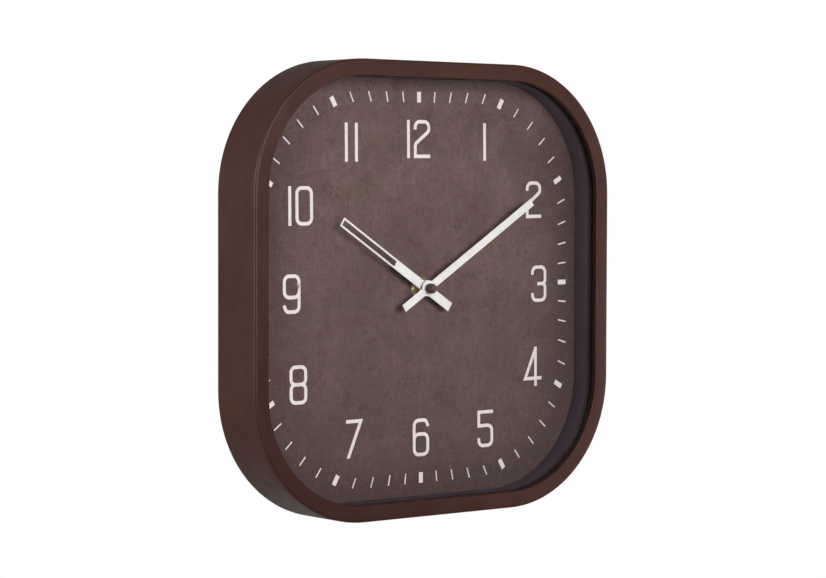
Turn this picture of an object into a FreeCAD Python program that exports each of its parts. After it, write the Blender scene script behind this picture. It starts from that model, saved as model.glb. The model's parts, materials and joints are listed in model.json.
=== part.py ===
import FreeCAD, Part
import math
import os
import Sketcher
from FreeCAD import Placement, Rotation, Vector

# A battery wall clock with a rounded-square case.
# The origin is on the hand axis, in the plane of the wall. +Z is up, +X is to the right of
# somebody reading the clock, and the dial faces -Y. A "height" is a distance in front of the wall.

SIZES = {
    "case": {
        "case_half": (200, "half of the case's width and of its height"),
        "case_depth": (55, "wall to the front of the bezel"),
        "case_corner": (116, "outer corner radius"),
        "case_wall": (2.5, "side wall"),
        "case_edge_round": (2, "rounding of the outer front edge"),
        "bezel_width": (14.5, "front face of the bezel, seen from the front"),
        "bezel_thick": (5, "depth of the bezel's lip"),
        "lip_edge_round": (0.8, "rounding of the lip's front edge"),
        "boss_radius": (3.5, "screw boss"),
        "boss_inset": (5.8, "outer face of the case to a boss's axis"),
        "boss_spread": (60, "hand axis to a side boss, along the side"),
        "core_depth": (10, "depth of the screw core in a boss"),
    },
    "front stack": {
        "stack_overlap": (4.5, "how far the glass reaches behind the lip"),
        "glass_thick": (2, "glass"),
        "gasket_thick": (3, "rubber frame behind the glass"),
        "gasket_setback": (1, "gasket's inner edge, back from the lip"),
        "ring_wall": (2.5, "wall of the spacer ring"),
        "ring_flange": (2, "thickness of the ring's front flange"),
        "dial_height": (25, "front of the dial"),
        "dial_thick": (3, "dial board"),
        "dial_hole": (4.2, "radius of the dial's centre hole"),
    },
    "back": {
        "cover_gap": (0.5, "gap between back cover and case"),
        "cover_height": (2, "rear of the back cover"),
        "cover_thick": (2.5, "panel of the back cover"),
        "cover_rib_inset": (12, "outer face of the case to the rib that presses on the dial"),
        "cover_rib": (2, "thickness of that rib"),
        "cover_hole": (1.35, "radius of the back cover's screw holes"),
        "window_half": (34, "half of the square window behind the movement"),
        "window_corner": (6, "corner radius of that window"),
        "cover_screw": (1.1, "shank radius of the back cover's screws"),
        "cover_screw_length": (10, "shank length"),
        "cover_screw_head": (2.1, "head radius"),
        "cover_screw_rise": (1.4, "head height"),
        "hanger_rise": (150, "hand axis to the middle of the hanger plate"),
        "hanger_half_width": (24, "half of the hanger plate's width"),
        "hanger_half_tall": (16, "half of its height"),
        "hanger_thick": (1, "hanger plate"),
        "hanger_corner": (4, "its corner radius"),
        "relief_half_width": (15, "half of the opening behind the keyhole"),
        "relief_half_tall": (13, "half of its height"),
        "relief_corner": (2, "its corner radius"),
        "keyhole_entry": (4.5, "radius of the keyhole's round entry"),
        "keyhole_slot": (2.3, "half of the slot's width"),
        "keyhole_flat": (0.01, "straight half of the slot's end, between its two arcs"),
        "keyhole_drop": (5, "plate's middle down to the entry's centre"),
        "keyhole_rise": (13, "entry's centre up to the slot's end centre"),
        "rivet_spread": (19.5, "plate's middle to a rivet"),
        "rivet_radius": (1.6, "rivet shank"),
        "rivet_head": (2.8, "rivet head radius"),
        "rivet_head_rise": (0.8, "rivet head height"),
    },
    "movement case": {
        "movement_half": (28, "half of the movement's width and of its height"),
        "movement_corner": (3, "corner radius"),
        "movement_front": (21, "front face of the movement"),
        "movement_back": (5, "rear face of the movement"),
        "movement_wall": (1.5, "wall"),
        "movement_split": (13, "where the front and rear shells meet"),
        "partition_top": (10.8, "hand axis down to the battery partition's upper face"),
        "partition_thick": (1, "battery partition"),
        "battery_window": (26, "half of the width of the battery's opening"),
        "battery_gap": (0.2, "gap between the cell and the opening's upper edge"),
        "pivot_gap": (0.05, "gap round a pivot"),
        "blind_depth": (0.8, "depth of the blind pivot holes"),
        "bush_radius": (4, "threaded bush, outside"),
        "bush_bore": (2.65, "threaded bush, bore"),
        "bush_tip": (31.5, "front end of the bush"),
        "rubber_thick": (1, "rubber washer behind the dial"),
        "rubber_radius": (9, "rubber washer"),
        "washer_radius": (9.9, "brass washer on the dial"),
        "washer_thick": (0.6, "brass washer"),
        "nut_flats": (11, "across the nut's flats"),
        "nut_thick": (2, "nut"),
        "pillar_radius": (1.2, "posts and pillars inside the movement"),
        "pillar_left": (-18.5, "x of the two left pillars between the plates"),
        "pillar_low": (-7.5, "z of the lower left pillar"),
        "pillar_top": (15.5, "z of the upper left pillar"),
        "pillar_right": (11.2, "x of the right pillar"),
        "pillar_right_low": (-8.6, "z of the right pillar"),
        "low_post_x": (20, "x of the lower post on the circuit board"),
        "low_post_z": (-7, "its z"),
        "high_post_x": (23.5, "x of the upper post on the circuit board"),
        "high_post_z": (23, "its z"),
        "overrun": (1, "how far a cutting shape runs past the faces that it cuts"),
    },
    "hands": {
        "hour_angle": (302.63, "hour hand at rest, clockwise from 12"),
        "hour_reach": (111, "axis to the tip"),
        "hour_tail": (32.6, "axis to the end of the tail"),
        "hour_half": (4.25, "half of the blade's width"),
        "hour_height": (33.5, "rear face of the hour hand"),
        "slot_start": (41.2, "axis to the near end of the slot"),
        "slot_rail": (1.7, "rail beside and beyond the slot"),
        "minute_angle": (57.96, "minute hand at rest, clockwise from 12"),
        "minute_reach": (143.7, "axis to the tip"),
        "minute_tail": (32.4, "axis to the end of the tail"),
        "minute_half": (3.55, "half of the blade's width"),
        "minute_height": (36.7, "rear face of the minute hand"),
        "hand_thick": (0.6, "both hands"),
        "hub_radius": (7.2, "round hub of both hands"),
        "hour_pipe": (2.55, "hour pipe, outside"),
        "hour_pipe_bore": (1.8, "hour pipe, bore"),
        "hour_pipe_tip": (34.8, "front end of the hour pipe"),
        "hour_collet": (3.6, "radius of the hour hand's collet"),
        "hour_collet_long": (1.5, "its length"),
        "minute_shaft": (1.72, "minute arbor in the hour pipe"),
        "minute_shaft_tip": (38.2, "front end of the minute arbor"),
        "minute_collet": (2.8, "radius of the minute hand's collet"),
        "minute_collet_long": (1.3, "its length"),
        "cap_radius": (4.5, "centre cap"),
        "cap_back": (38, "rear face of the cap's head"),
        "cap_front": (46.2, "front of the cap"),
        "cap_round": (4, "rounding that makes the cap's front a ball"),
        "cap_rear_round": (1.9, "rounding of the cap's rear edge"),
        "cap_stem": (2.4, "stem of the cap"),
        "cap_bore_end": (38.4, "end of the cap's bore"),
    },
    "gearing": {
        "motion_reach": (7.5, "centre distance of both motion-work pairs and the setting pair"),
        "motion_bearing": (-20, "direction from the hand axis to the minute wheel"),
        "setting_bearing": (-10, "direction from the minute wheel to the setting arbor"),
        "train_reach": (10.2, "centre distance of centre wheel and third wheel"),
        "third_bearing": (150, "direction from the hand axis to the third wheel"),
        "fifth_reach": (7.2, "hand axis to the fifth wheel"),
        "rotor_reach": (5.25, "fifth wheel to the rotor"),
        "rotor_bearing": (80, "direction from the hand axis to the fifth wheel and the rotor"),
        "cannon_teeth": (12, "pinion on the minute arbor, and setting pinion"),
        "minute_wheel_teeth": (36, "minute wheel"),
        "cannon_module": (0.3125, "module of the minute wheel and its partners"),
        "motion_pinion_teeth": (10, "pinion of the minute wheel"),
        "hour_wheel_teeth": (40, "hour wheel"),
        "motion_module": (0.3, "module of that pair"),
        "centre_teeth": (60, "centre wheel"),
        "leaf_teeth": (8, "pinions of the third, fourth and fifth wheels"),
        "centre_module": (0.3, "module of centre wheel and third pinion"),
        "third_teeth": (64, "third wheel"),
        "fourth_teeth": (40, "fourth wheel"),
        "fourth_module": (0.3, "module of fourth wheel and fifth pinion"),
        "fifth_teeth": (36, "fifth wheel"),
        "rotor_teeth": (6, "rotor pinion"),
        "rotor_module": (0.25, "module of fifth wheel and rotor pinion"),
        "wheel_thick": (0.8, "a wheel of the going train"),
        "pinion_long": (1.2, "length of a moulded pinion"),
        "pinion_lead": (0.2, "how far a pinion stands behind the wheel that it meets"),
        "hour_wheel_height": (18.5, "rear face of the hour wheel"),
        "minute_wheel_height": (17.1, "rear face of the minute wheel"),
        "minute_wheel_thick": (1, "minute wheel and cannon pinion"),
        "centre_height": (15.8, "rear face of the centre wheel"),
        "plate_height": (14.6, "rear face of the middle plate"),
        "third_height": (13.4, "rear face of the third wheel"),
        "fourth_height": (11.8, "rear face of the fourth wheel"),
        "fifth_height": (10.4, "rear face of the fifth wheel"),
        "bridge_height": (8.8, "rear face of the train bridge"),
        "plate_thick": (0.8, "middle plate and train bridge"),
        "plate_left": (-20.5, "left edge of both plates"),
        "plate_right": (12.5, "right edge"),
        "plate_low": (-9.8, "lower edge"),
        "plate_top": (17.5, "upper edge"),
        "third_clearance": (1.6, "radius of the middle plate's hole round the third pinion"),
        "arbor_radius": (0.6, "third arbor"),
        "thin_arbor": (0.4, "fourth and fifth arbors"),
        "rotor_arbor": (0.35, "rotor arbor"),
        "pivot_front": (20.1, "front end of the pivots in the front shell"),
        "pivot_long": (1, "length of the fourth wheel's front pivot"),
        "foot_bore": (1.4, "depth of the bore that takes this pivot"),
        "arbor_back": (8.9, "rear end of the train's arbors"),
        "arbor_front": (15.2, "front end of the fifth and rotor arbors"),
        "minute_foot": (1.2, "rear part of the minute arbor"),
        "setting_shaft": (1.2, "setting arbor"),
        "setting_lead": (0.1, "how far its pinion stands behind the minute wheel"),
        "setting_shaft_front": (19.2, "front end of its thick part"),
        "knob_web": (1.1, "thickness of the knob behind the arbor"),
        "knob_radius": (4.5, "time-setting knob"),
        "knob_back": (1.5, "rear face of the knob"),
        "knob_front": (4.6, "front face of the knob"),
        "knob_flute": (0.45, "radius of a flute in the knob's rim"),
        "knob_flutes": (24, "flutes in the knob's rim"),
    },
    "motor and battery": {
        "magnet_radius": (2.5, "rotor magnet"),
        "magnet_bore": (0.9, "its bore"),
        "magnet_low": (11.5, "rear face of the magnet"),
        "magnet_long": (2.1, "length of the magnet"),
        "stator_hole": (2.9, "hole round the rotor"),
        "stator_height": (12.1, "rear face of the stator"),
        "stator_thick": (0.8, "stator"),
        "stator_low": (8.9, "lower edge"),
        "stator_top": (25, "upper edge"),
        "notch_low": (17, "lower edge of the notch that clears the coil"),
        "notch_gap": (0.5, "gap between the notch and the bobbin's ends"),
        "core_half_wide": (13, "half of the coil core's length"),
        "core_middle": (2, "x of the core's middle"),
        "coil_rise": (21.5, "hand axis up to the coil's axis"),
        "core_half_tall": (1.5, "half of the core's width"),
        "core_thick": (1, "coil core"),
        "bobbin_half": (9, "half of the bobbin's length"),
        "bobbin_flange": (3.1, "radius of the bobbin's flanges"),
        "bobbin_flange_thick": (0.6, "bobbin flange"),
        "bobbin_tube": (1.9, "radius of the bobbin's tube"),
        "winding_radius": (2.9, "coil winding"),
        "coil_screw_spread": (11.25, "middle of the core to a coil screw"),
        "coil_screw": (0.6, "shank radius of the coil screws"),
        "coil_screw_head": (1.4, "head radius"),
        "coil_screw_length": (5, "shank length"),
        "coil_screw_rise": (0.9, "head height"),
        "coil_post": (1.8, "radius of the post that a coil screw goes into"),
        "coil_core": (3.5, "depth of the screw core in this post"),
        "board_left": (17, "left edge of the circuit board"),
        "board_right": (26, "right edge"),
        "board_low": (-9.5, "lower edge"),
        "board_top": (25.5, "upper edge"),
        "board_height": (14, "rear face of the circuit board"),
        "board_thick": (1, "circuit board"),
        "chip_left": (18.5, "left edge of the chip"),
        "chip_right": (24.5, "right edge"),
        "chip_low": (9, "lower edge"),
        "chip_top": (15, "upper edge"),
        "chip_thick": (1, "chip"),
        "crystal_radius": (1, "quartz crystal's can"),
        "crystal_long": (6, "its length"),
        "crystal_low": (-3, "z of its lower end"),
        "crystal_gap": (0.02, "gap between the can and the board"),
        "cell_radius": (7.1, "AA cell"),
        "cell_half": (25.2, "middle of the cell to its flat end"),
        "cell_shoulder": (24.3, "middle of the cell to its shoulder"),
        "cell_nub": (2.7, "radius of the positive nub"),
        "cell_nub_end": (25.3, "middle of the cell to the nub's end"),
        "cell_drop": (19.2, "hand axis down to the cell's axis"),
        "cell_height": (12.3, "height of the cell's axis"),
        "contact_thick": (0.5, "battery contact strip"),
        "contact_half_tall": (4, "half of its height"),
        "contact_half_deep": (5, "half of its depth"),
        "contact_bump": (2, "radius of the raised contact"),
        "positive_reach": (25.45, "hand axis to the positive contact's inner end"),
        "negative_reach": (25.35, "hand axis to the negative contact's inner end"),
    },
}

doc = FreeCAD.newDocument("WallClock")
sheet = doc.addObject("Spreadsheet::Sheet", "Sizes")


def fill_sheet():
    row = 1
    for heading, group in SIZES.items():
        sheet.set(f"A{row}", heading)
        row += 1
        for name, (number, note) in group.items():
            sheet.set(f"A{row}", name)
            sheet.set(f"B{row}", str(number))
            sheet.set(f"C{row}", note)
            sheet.setAlias(f"B{row}", name)
            row += 1
    doc.recompute()


def bound(words):
    """An expression on the sheet's cells, from one written with bare cell names."""
    names = sorted((n for group in SIZES.values() for n in group), key=len, reverse=True)
    out, at = "", 0
    while at < len(words):
        name = next((n for n in names if words.startswith(n, at)), None)
        if name and not (at and (words[at - 1].isalnum() or words[at - 1] in "._")):
            out += "Sizes." + name
            at += len(name)
        else:
            out += words[at]
            at += 1
    return out


def value(words):
    """The number that such an expression gives."""
    return float(sheet.evalExpression(bound(words)))


# ---------------------------------------------------------------- sketches and features

def new_body(name):
    body = doc.addObject("PartDesign::Body", name)
    body.Label = name
    return body


def origin_feature(body, role):
    return next(f for f in body.Origin.OriginFeatures if f.Role == role)


def face_sketch(body, name, height, x="0", z="0"):
    """A sketch parallel to the wall at a height in front of it, with its origin at x, z."""
    sketch = body.newObject("Sketcher::SketchObject", f"{body.Label}_{name}_outline")
    sketch.AttachmentSupport = [(origin_feature(body, "XZ_Plane"), "")]
    sketch.MapMode = "FlatFace"
    sketch.setExpression("AttachmentOffset.Base.x", bound(x))
    sketch.setExpression("AttachmentOffset.Base.y", bound(z))
    sketch.setExpression("AttachmentOffset.Base.z", bound(height))
    return sketch


def dimension(sketch, kind, words, *where):
    """A driving dimension bound to the sheet."""
    index = sketch.addConstraint(Sketcher.Constraint(kind, *where, value(words)))
    sketch.setExpression(f"Constraints[{index}]", bound(words))


def add_round_rectangle(sketch, half_x, half_z, corner):
    """A rectangle about the sketch's origin with four equal round corners."""
    hx, hz, r = value(half_x), value(half_z), value(corner)
    first = sketch.GeometryCount
    ends = [
        ((-hx + r, -hz), (hx - r, -hz)),
        ((hx, -hz + r), (hx, hz - r)),
        ((hx - r, hz), (-hx + r, hz)),
        ((-hx, hz - r), (-hx, -hz + r)),
    ]
    middles = [(hx - r, -hz + r), (hx - r, hz - r), (-hx + r, hz - r), (-hx + r, -hz + r)]
    for side in range(4):
        (x0, z0), (x1, z1) = ends[side]
        sketch.addGeometry(Part.LineSegment(Vector(x0, z0, 0), Vector(x1, z1, 0)))
        circle = Part.Circle(Vector(*middles[side], 0), Vector(0, 0, 1), r)
        start = (side - 1) * math.pi / 2
        sketch.addGeometry(Part.ArcOfCircle(circle, start, start + math.pi / 2))
    lines = [first + 2 * side for side in range(4)]
    arcs = [line + 1 for line in lines]
    for side in range(4):
        following = lines[(side + 1) % 4]
        sketch.addConstraint(Sketcher.Constraint("Tangent", lines[side], 2, arcs[side], 1))
        sketch.addConstraint(Sketcher.Constraint("Tangent", arcs[side], 2, following, 1))
        flat = "Horizontal" if side % 2 == 0 else "Vertical"
        sketch.addConstraint(Sketcher.Constraint(flat, lines[side]))
    for arc in arcs[1:]:
        sketch.addConstraint(Sketcher.Constraint("Equal", arcs[0], arc))
    dimension(sketch, "Radius", corner, arcs[0])
    dimension(sketch, "DistanceX", half_x, -1, 1, lines[1], 1)
    dimension(sketch, "DistanceX", half_x, lines[3], 1, -1, 1)
    dimension(sketch, "DistanceY", half_z, -1, 1, lines[2], 1)
    dimension(sketch, "DistanceY", half_z, lines[0], 1, -1, 1)


def add_rectangle(sketch, left, right, low, top):
    x0, x1, z0, z1 = (value(w) for w in (left, right, low, top))
    corners = [Vector(x0, z0, 0), Vector(x1, z0, 0), Vector(x1, z1, 0), Vector(x0, z1, 0)]
    first = sketch.GeometryCount
    for side in range(4):
        sketch.addGeometry(Part.LineSegment(corners[side], corners[(side + 1) % 4]))
    for side in range(4):
        here, following = first + side, first + (side + 1) % 4
        sketch.addConstraint(Sketcher.Constraint("Coincident", here, 2, following, 1))
        flat = "Horizontal" if side % 2 == 0 else "Vertical"
        sketch.addConstraint(Sketcher.Constraint(flat, here))
    dimension(sketch, "DistanceX", left, -1, 1, first, 1)
    dimension(sketch, "DistanceX", right, -1, 1, first + 1, 1)
    dimension(sketch, "DistanceY", low, -1, 1, first, 1)
    dimension(sketch, "DistanceY", top, -1, 1, first + 2, 1)


def add_circle(sketch, radius, x="0", z="0"):
    centre = Vector(value(x), value(z), 0)
    circle = sketch.addGeometry(Part.Circle(centre, Vector(0, 0, 1), value(radius)))
    dimension(sketch, "Radius", radius, circle)
    dimension(sketch, "DistanceX", x, -1, 1, circle, 3)
    dimension(sketch, "DistanceY", z, -1, 1, circle, 3)


def pad(body, sketch, length):
    """Adds material from the sketch's plane towards the front."""
    feature = body.newObject("PartDesign::Pad", sketch.Name.replace("_outline", "_pad"))
    feature.Profile = sketch
    feature.setExpression("Length", bound(length))
    doc.recompute()
    return feature


def pocket(body, sketch, length, forward=False):
    """Cuts from the sketch's plane towards the wall, or towards the front."""
    before = body.Shape.Volume
    feature = body.newObject("PartDesign::Pocket", sketch.Name.replace("_outline", "_pocket"))
    feature.Profile = sketch
    feature.setExpression("Length", bound(length))
    feature.Reversed = forward
    doc.recompute()
    if body.Shape.Volume >= before:
        raise RuntimeError(f"{feature.Name} cuts nothing")
    return feature


def quarter_turns(body, original):
    """Repeats a feature on all four sides of the case."""
    pattern = body.newObject("PartDesign::PolarPattern", original.Name + "_x4")
    pattern.Originals = [original]
    pattern.Axis = (origin_feature(body, "Y_Axis"), [""])
    pattern.Angle = 360
    pattern.Occurrences = 4
    body.Tip = pattern
    doc.recompute()
    return pattern


TOLERANCE = 0.01


def edges_near(shape, height, reach):
    """Names of the edges at a height whose outermost point along X or Z is at a reach."""
    names = []
    for index, edge in enumerate(shape.Edges, 1):
        box = edge.BoundBox
        flat = abs(box.YMin + height) < TOLERANCE and abs(box.YMax + height) < TOLERANCE
        outer = max(abs(box.XMin), abs(box.XMax), abs(box.ZMin), abs(box.ZMax))
        if flat and abs(outer - reach) < TOLERANCE:
            names.append(f"Edge{index}")
    return names


def round_edges(body, radius, height, reach):
    base = body.Tip
    fillet = body.newObject("PartDesign::Fillet", f"{body.Label}_round_{len(body.Group)}")
    fillet.Base = (base, edges_near(body.Shape, value(height), value(reach)))
    fillet.setExpression("Radius", bound(radius))
    doc.recompute()
    return fillet


def cylinder(name, radius, low, high, x="0", z="0"):
    """A round bar that points at the front, between two heights."""
    bar = doc.addObject("Part::Cylinder", name)
    bar.Placement = Placement(Vector(0, 0, 0), Rotation(Vector(1, 0, 0), 90))
    bar.setExpression("Radius", bound(radius))
    bar.setExpression("Height", bound(f"({high}) - ({low})"))
    bar.setExpression("Placement.Base.x", bound(x))
    bar.setExpression("Placement.Base.y", bound(f"-({low})"))
    bar.setExpression("Placement.Base.z", bound(z))
    return bar


def block(name, left, right, low_z, top_z, back, front):
    """A box between two heights."""
    box = doc.addObject("Part::Box", name)
    box.setExpression("Length", bound(f"({right}) - ({left})"))
    box.setExpression("Width", bound(f"({front}) - ({back})"))
    box.setExpression("Height", bound(f"({top_z}) - ({low_z})"))
    box.setExpression("Placement.Base.x", bound(left))
    box.setExpression("Placement.Base.y", bound(f"-({front})"))
    box.setExpression("Placement.Base.z", bound(low_z))
    return box


def fuse(name, *pieces):
    whole = doc.addObject("Part::MultiFuse", name)
    whole.Shapes = list(pieces)
    whole.Label = name
    return whole


def cut(name, base, *tools):
    tool = tools[0] if len(tools) == 1 else fuse(name + "_tools", *tools)
    result = doc.addObject("Part::Cut", name)
    result.Base = base
    result.Tool = tool
    result.Label = name
    return result


def along(reach, bearing, start=("0", "0")):
    """The point at a reach and a bearing from another one, as two expressions."""
    return (
        f"{start[0]} + {reach} * cos({bearing})",
        f"{start[1]} + {reach} * sin({bearing})",
    )


# ---------------------------------------------------------------- gears

CENTRE = ("0", "0")
MINUTE_WHEEL = along("motion_reach", "motion_bearing")
SETTING = along("motion_reach", "setting_bearing", MINUTE_WHEEL)
THIRD = along("train_reach", "third_bearing")
FIFTH = along("fifth_reach", "rotor_bearing")
ROTOR = along("rotor_reach", "rotor_bearing", FIFTH)
THIRD_MODULE = "train_reach * 2 / (third_teeth + leaf_teeth)"

PRESSURE_ANGLE = math.radians(30)
ADDENDUM = 0.8
DEDENDUM = 1.05
BACKLASH = 0.2
FLANK_POINTS = 3


def involute(angle):
    return math.tan(angle) - angle


def gear_outline(teeth, module, phase):
    """Corners of an involute gear with stub teeth; one tooth points at the phase angle."""
    pitch = module * teeth / 2
    base = pitch * math.cos(PRESSURE_ANGLE)
    root = pitch - DEDENDUM * module
    tip = pitch + ADDENDUM * module
    start = max(base, root)
    half_tooth = math.pi / (2 * teeth) - BACKLASH * module / (4 * pitch) + involute(PRESSURE_ANGLE)
    flank = [(root, half_tooth)] if root < base else []
    for step in range(FLANK_POINTS):
        radius = start + (tip - start) * step / (FLANK_POINTS - 1)
        flank.append((radius, half_tooth - involute(math.acos(min(1, base / radius)))))
    corners = []
    for tooth in range(teeth):
        middle = math.radians(phase) + 2 * math.pi * tooth / teeth
        for side, points in ((-1, flank), (1, flank[::-1])):
            for radius, spread in points:
                angle = middle + side * spread
                corners.append(Vector(radius * math.cos(angle), 0, radius * math.sin(angle)))
    return corners


def gear(name, teeth, module, phase, height, thick, at):
    """A toothed disc whose rear face is at a height."""
    corners = gear_outline(round(value(teeth)), value(module), phase)
    outline = Part.makePolygon(corners + corners[:1])
    disc = doc.addObject("Part::Feature", name)
    disc.Shape = Part.Face(outline).extrude(Vector(0, -value(thick), 0))
    disc.Placement = Placement(Vector(value(at[0]), -value(height), value(at[1])), Rotation())
    return disc


def meshed(phase, teeth, bearing, partner):
    """The phase of a partner gear that lies at a bearing and is in mesh with this one."""
    share = ((bearing - phase) * teeth / 360) % 1
    return bearing + 180 + (share + 0.5) * 360 / partner


def phases():
    """Angles of one tooth of every gear, so that all pairs are in mesh at rest."""
    count = {name: round(value(name)) for name in SIZES["gearing"] if name.endswith("_teeth")}
    motion, setting = value("motion_bearing"), value("setting_bearing")
    third, rotor = value("third_bearing"), value("rotor_bearing")
    cannon, minute = count["cannon_teeth"], count["minute_wheel_teeth"]
    leaf = count["leaf_teeth"]
    angles = {"cannon": 0, "motion_pinion": 0, "centre": 0, "third": 0, "fourth": 0, "fifth": 0}
    angles["minute_wheel"] = meshed(0, cannon, motion, minute)
    angles["hour_wheel"] = meshed(
        0, count["motion_pinion_teeth"], motion + 180, count["hour_wheel_teeth"]
    )
    angles["setting"] = meshed(angles["minute_wheel"], minute, setting, cannon)
    angles["third_pinion"] = meshed(0, count["centre_teeth"], third, leaf)
    angles["fourth_pinion"] = meshed(0, count["third_teeth"], third + 180, leaf)
    angles["fifth_pinion"] = meshed(0, count["fourth_teeth"], rotor, leaf)
    angles["rotor"] = meshed(0, count["fifth_teeth"], rotor, count["rotor_teeth"])
    return angles


# ---------------------------------------------------------------- case and front stack

INNER = "case_half - bezel_width"
INNER_CORNER = "case_corner - bezel_width"
STACK = INNER + " + stack_overlap"
STACK_CORNER = INNER_CORNER + " + stack_overlap"
LIP_BACK = "case_depth - bezel_thick"
GLASS_BACK = LIP_BACK + " - glass_thick"
GASKET_BACK = GLASS_BACK + " - gasket_thick"
COVER_FRONT = "cover_height + cover_thick"
BOSS_REACH = "case_half - boss_inset"
CORNER_BOSS = "case_half - case_corner + (case_corner - boss_inset) * sqrt(0.5)"


def add_square(sketch, half, corner):
    add_round_rectangle(sketch, half, half, corner)


def add_boss_circles(sketch, radius):
    """The three bosses of one side: two along it and one on the corner."""
    add_circle(sketch, radius, BOSS_REACH, "boss_spread")
    add_circle(sketch, radius, BOSS_REACH, "-boss_spread")
    add_circle(sketch, radius, CORNER_BOSS, CORNER_BOSS)


def case_rim():
    body = new_body("case_rim")
    outside = face_sketch(body, "outside", "0")
    add_square(outside, "case_half", "case_corner")
    pad(body, outside, "case_depth")
    hollow = face_sketch(body, "hollow", LIP_BACK)
    add_square(hollow, "case_half - case_wall", "case_corner - case_wall")
    pocket(body, hollow, LIP_BACK)
    opening = face_sketch(body, "opening", "case_depth")
    add_square(opening, INNER, INNER_CORNER)
    pocket(body, opening, "bezel_thick")
    round_edges(body, "case_edge_round", "case_depth", "case_half")
    round_edges(body, "lip_edge_round", "case_depth", INNER)
    bosses = face_sketch(body, "bosses", COVER_FRONT)
    add_boss_circles(bosses, "boss_radius")
    quarter_turns(body, pad(body, bosses, f"{LIP_BACK} - ({COVER_FRONT})"))
    cores = face_sketch(body, "cores", COVER_FRONT)
    add_boss_circles(cores, "cover_screw")
    quarter_turns(body, pocket(body, cores, "core_depth", forward=True))
    return body


def glass():
    body = new_body("glass")
    sketch = face_sketch(body, "pane", GLASS_BACK)
    add_square(sketch, STACK, STACK_CORNER)
    pad(body, sketch, "glass_thick")
    return body


def glass_gasket():
    body = new_body("glass_gasket")
    sketch = face_sketch(body, "frame", GASKET_BACK)
    add_square(sketch, STACK, STACK_CORNER)
    add_square(sketch, INNER + " + gasket_setback", INNER_CORNER + " + gasket_setback")
    pad(body, sketch, "gasket_thick")
    return body


def spacer_ring():
    body = new_body("spacer_ring")
    wall = face_sketch(body, "wall", "dial_height")
    add_square(wall, INNER + " + ring_wall", INNER_CORNER + " + ring_wall")
    add_square(wall, INNER, INNER_CORNER)
    pad(body, wall, f"{GASKET_BACK} - dial_height")
    flange = face_sketch(body, "flange", f"{GASKET_BACK} - ring_flange")
    add_square(flange, STACK, STACK_CORNER)
    add_square(flange, INNER, INNER_CORNER)
    pad(body, flange, "ring_flange")
    return body


def dial_board():
    body = new_body("dial_board")
    sketch = face_sketch(body, "board", "dial_height - dial_thick")
    add_square(sketch, STACK, STACK_CORNER)
    add_circle(sketch, "dial_hole")
    pad(body, sketch, "dial_thick")
    return body


# ---------------------------------------------------------------- back

def back_cover():
    body = new_body("back_cover")
    panel = face_sketch(body, "panel", "cover_height")
    inset = "case_wall - cover_gap"
    add_square(panel, f"case_half - {inset}", f"case_corner - {inset}")
    add_square(panel, "window_half", "window_corner")
    pad(body, panel, "cover_thick")
    rib = face_sketch(body, "rib", COVER_FRONT)
    add_square(rib, "case_half - cover_rib_inset", "case_corner - cover_rib_inset")
    inner = "cover_rib_inset - cover_rib"
    add_square(rib, f"case_half - {inner}", f"case_corner - {inner}")
    pad(body, rib, f"dial_height - dial_thick - ({COVER_FRONT})")
    relief = face_sketch(body, "relief", COVER_FRONT, z="hanger_rise")
    add_round_rectangle(relief, "relief_half_width", "relief_half_tall", "relief_corner")
    pocket(body, relief, "cover_thick")
    rivets = face_sketch(body, "rivets", COVER_FRONT, z="hanger_rise")
    add_circle(rivets, "rivet_radius", "rivet_spread")
    add_circle(rivets, "rivet_radius", "-rivet_spread")
    pocket(body, rivets, "cover_thick")
    holes = face_sketch(body, "holes", COVER_FRONT)
    add_boss_circles(holes, "cover_hole")
    quarter_turns(body, pocket(body, holes, "cover_thick"))
    return body


def group(name, shapes):
    """Separate solids that share one node."""
    feature = doc.addObject("Part::Feature", name)
    feature.Shape = Part.makeCompound(shapes)
    feature.Label = name
    return feature


SCREW_PARTS = ("", "_length", "_head", "_rise")


def pan_screw(radius, length, head, rise, seat):
    """A pan-head screw that points at the front; its head sits behind a seat height."""
    shank = Part.makeCylinder(radius, length, Vector(0, -seat, 0), Vector(0, -1, 0))
    top = Part.makeCylinder(head, rise, Vector(0, rise - seat, 0), Vector(0, -1, 0))
    round_edge = [e for e in top.Edges if abs(e.BoundBox.YMax - (rise - seat)) < 1e-6]
    top = top.makeFillet(rise / 2, [e for e in round_edge if e.BoundBox.YLength < 1e-6])
    slot = Part.makeBox(3 * head, rise / 2, rise / 3)
    slot.translate(Vector(-1.5 * head, rise / 2 - seat, -rise / 6))
    return shank.fuse(top).cut(slot).removeSplitter()


def back_cover_screws():
    screw = pan_screw(*(value(f"cover_screw{part}") for part in SCREW_PARTS),
                      value("cover_height"))
    side, spread, corner = value(BOSS_REACH), value("boss_spread"), value(CORNER_BOSS)
    shapes = []
    for turn in range(4):
        spin = Rotation(Vector(0, 1, 0), 90 * turn)
        for x, z in ((side, spread), (side, -spread), (corner, corner)):
            copy = screw.copy()
            copy.Placement = Placement(spin.multVec(Vector(x, 0, z)), Rotation())
            shapes.append(copy)
    return group("back_cover_screws", shapes)


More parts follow.
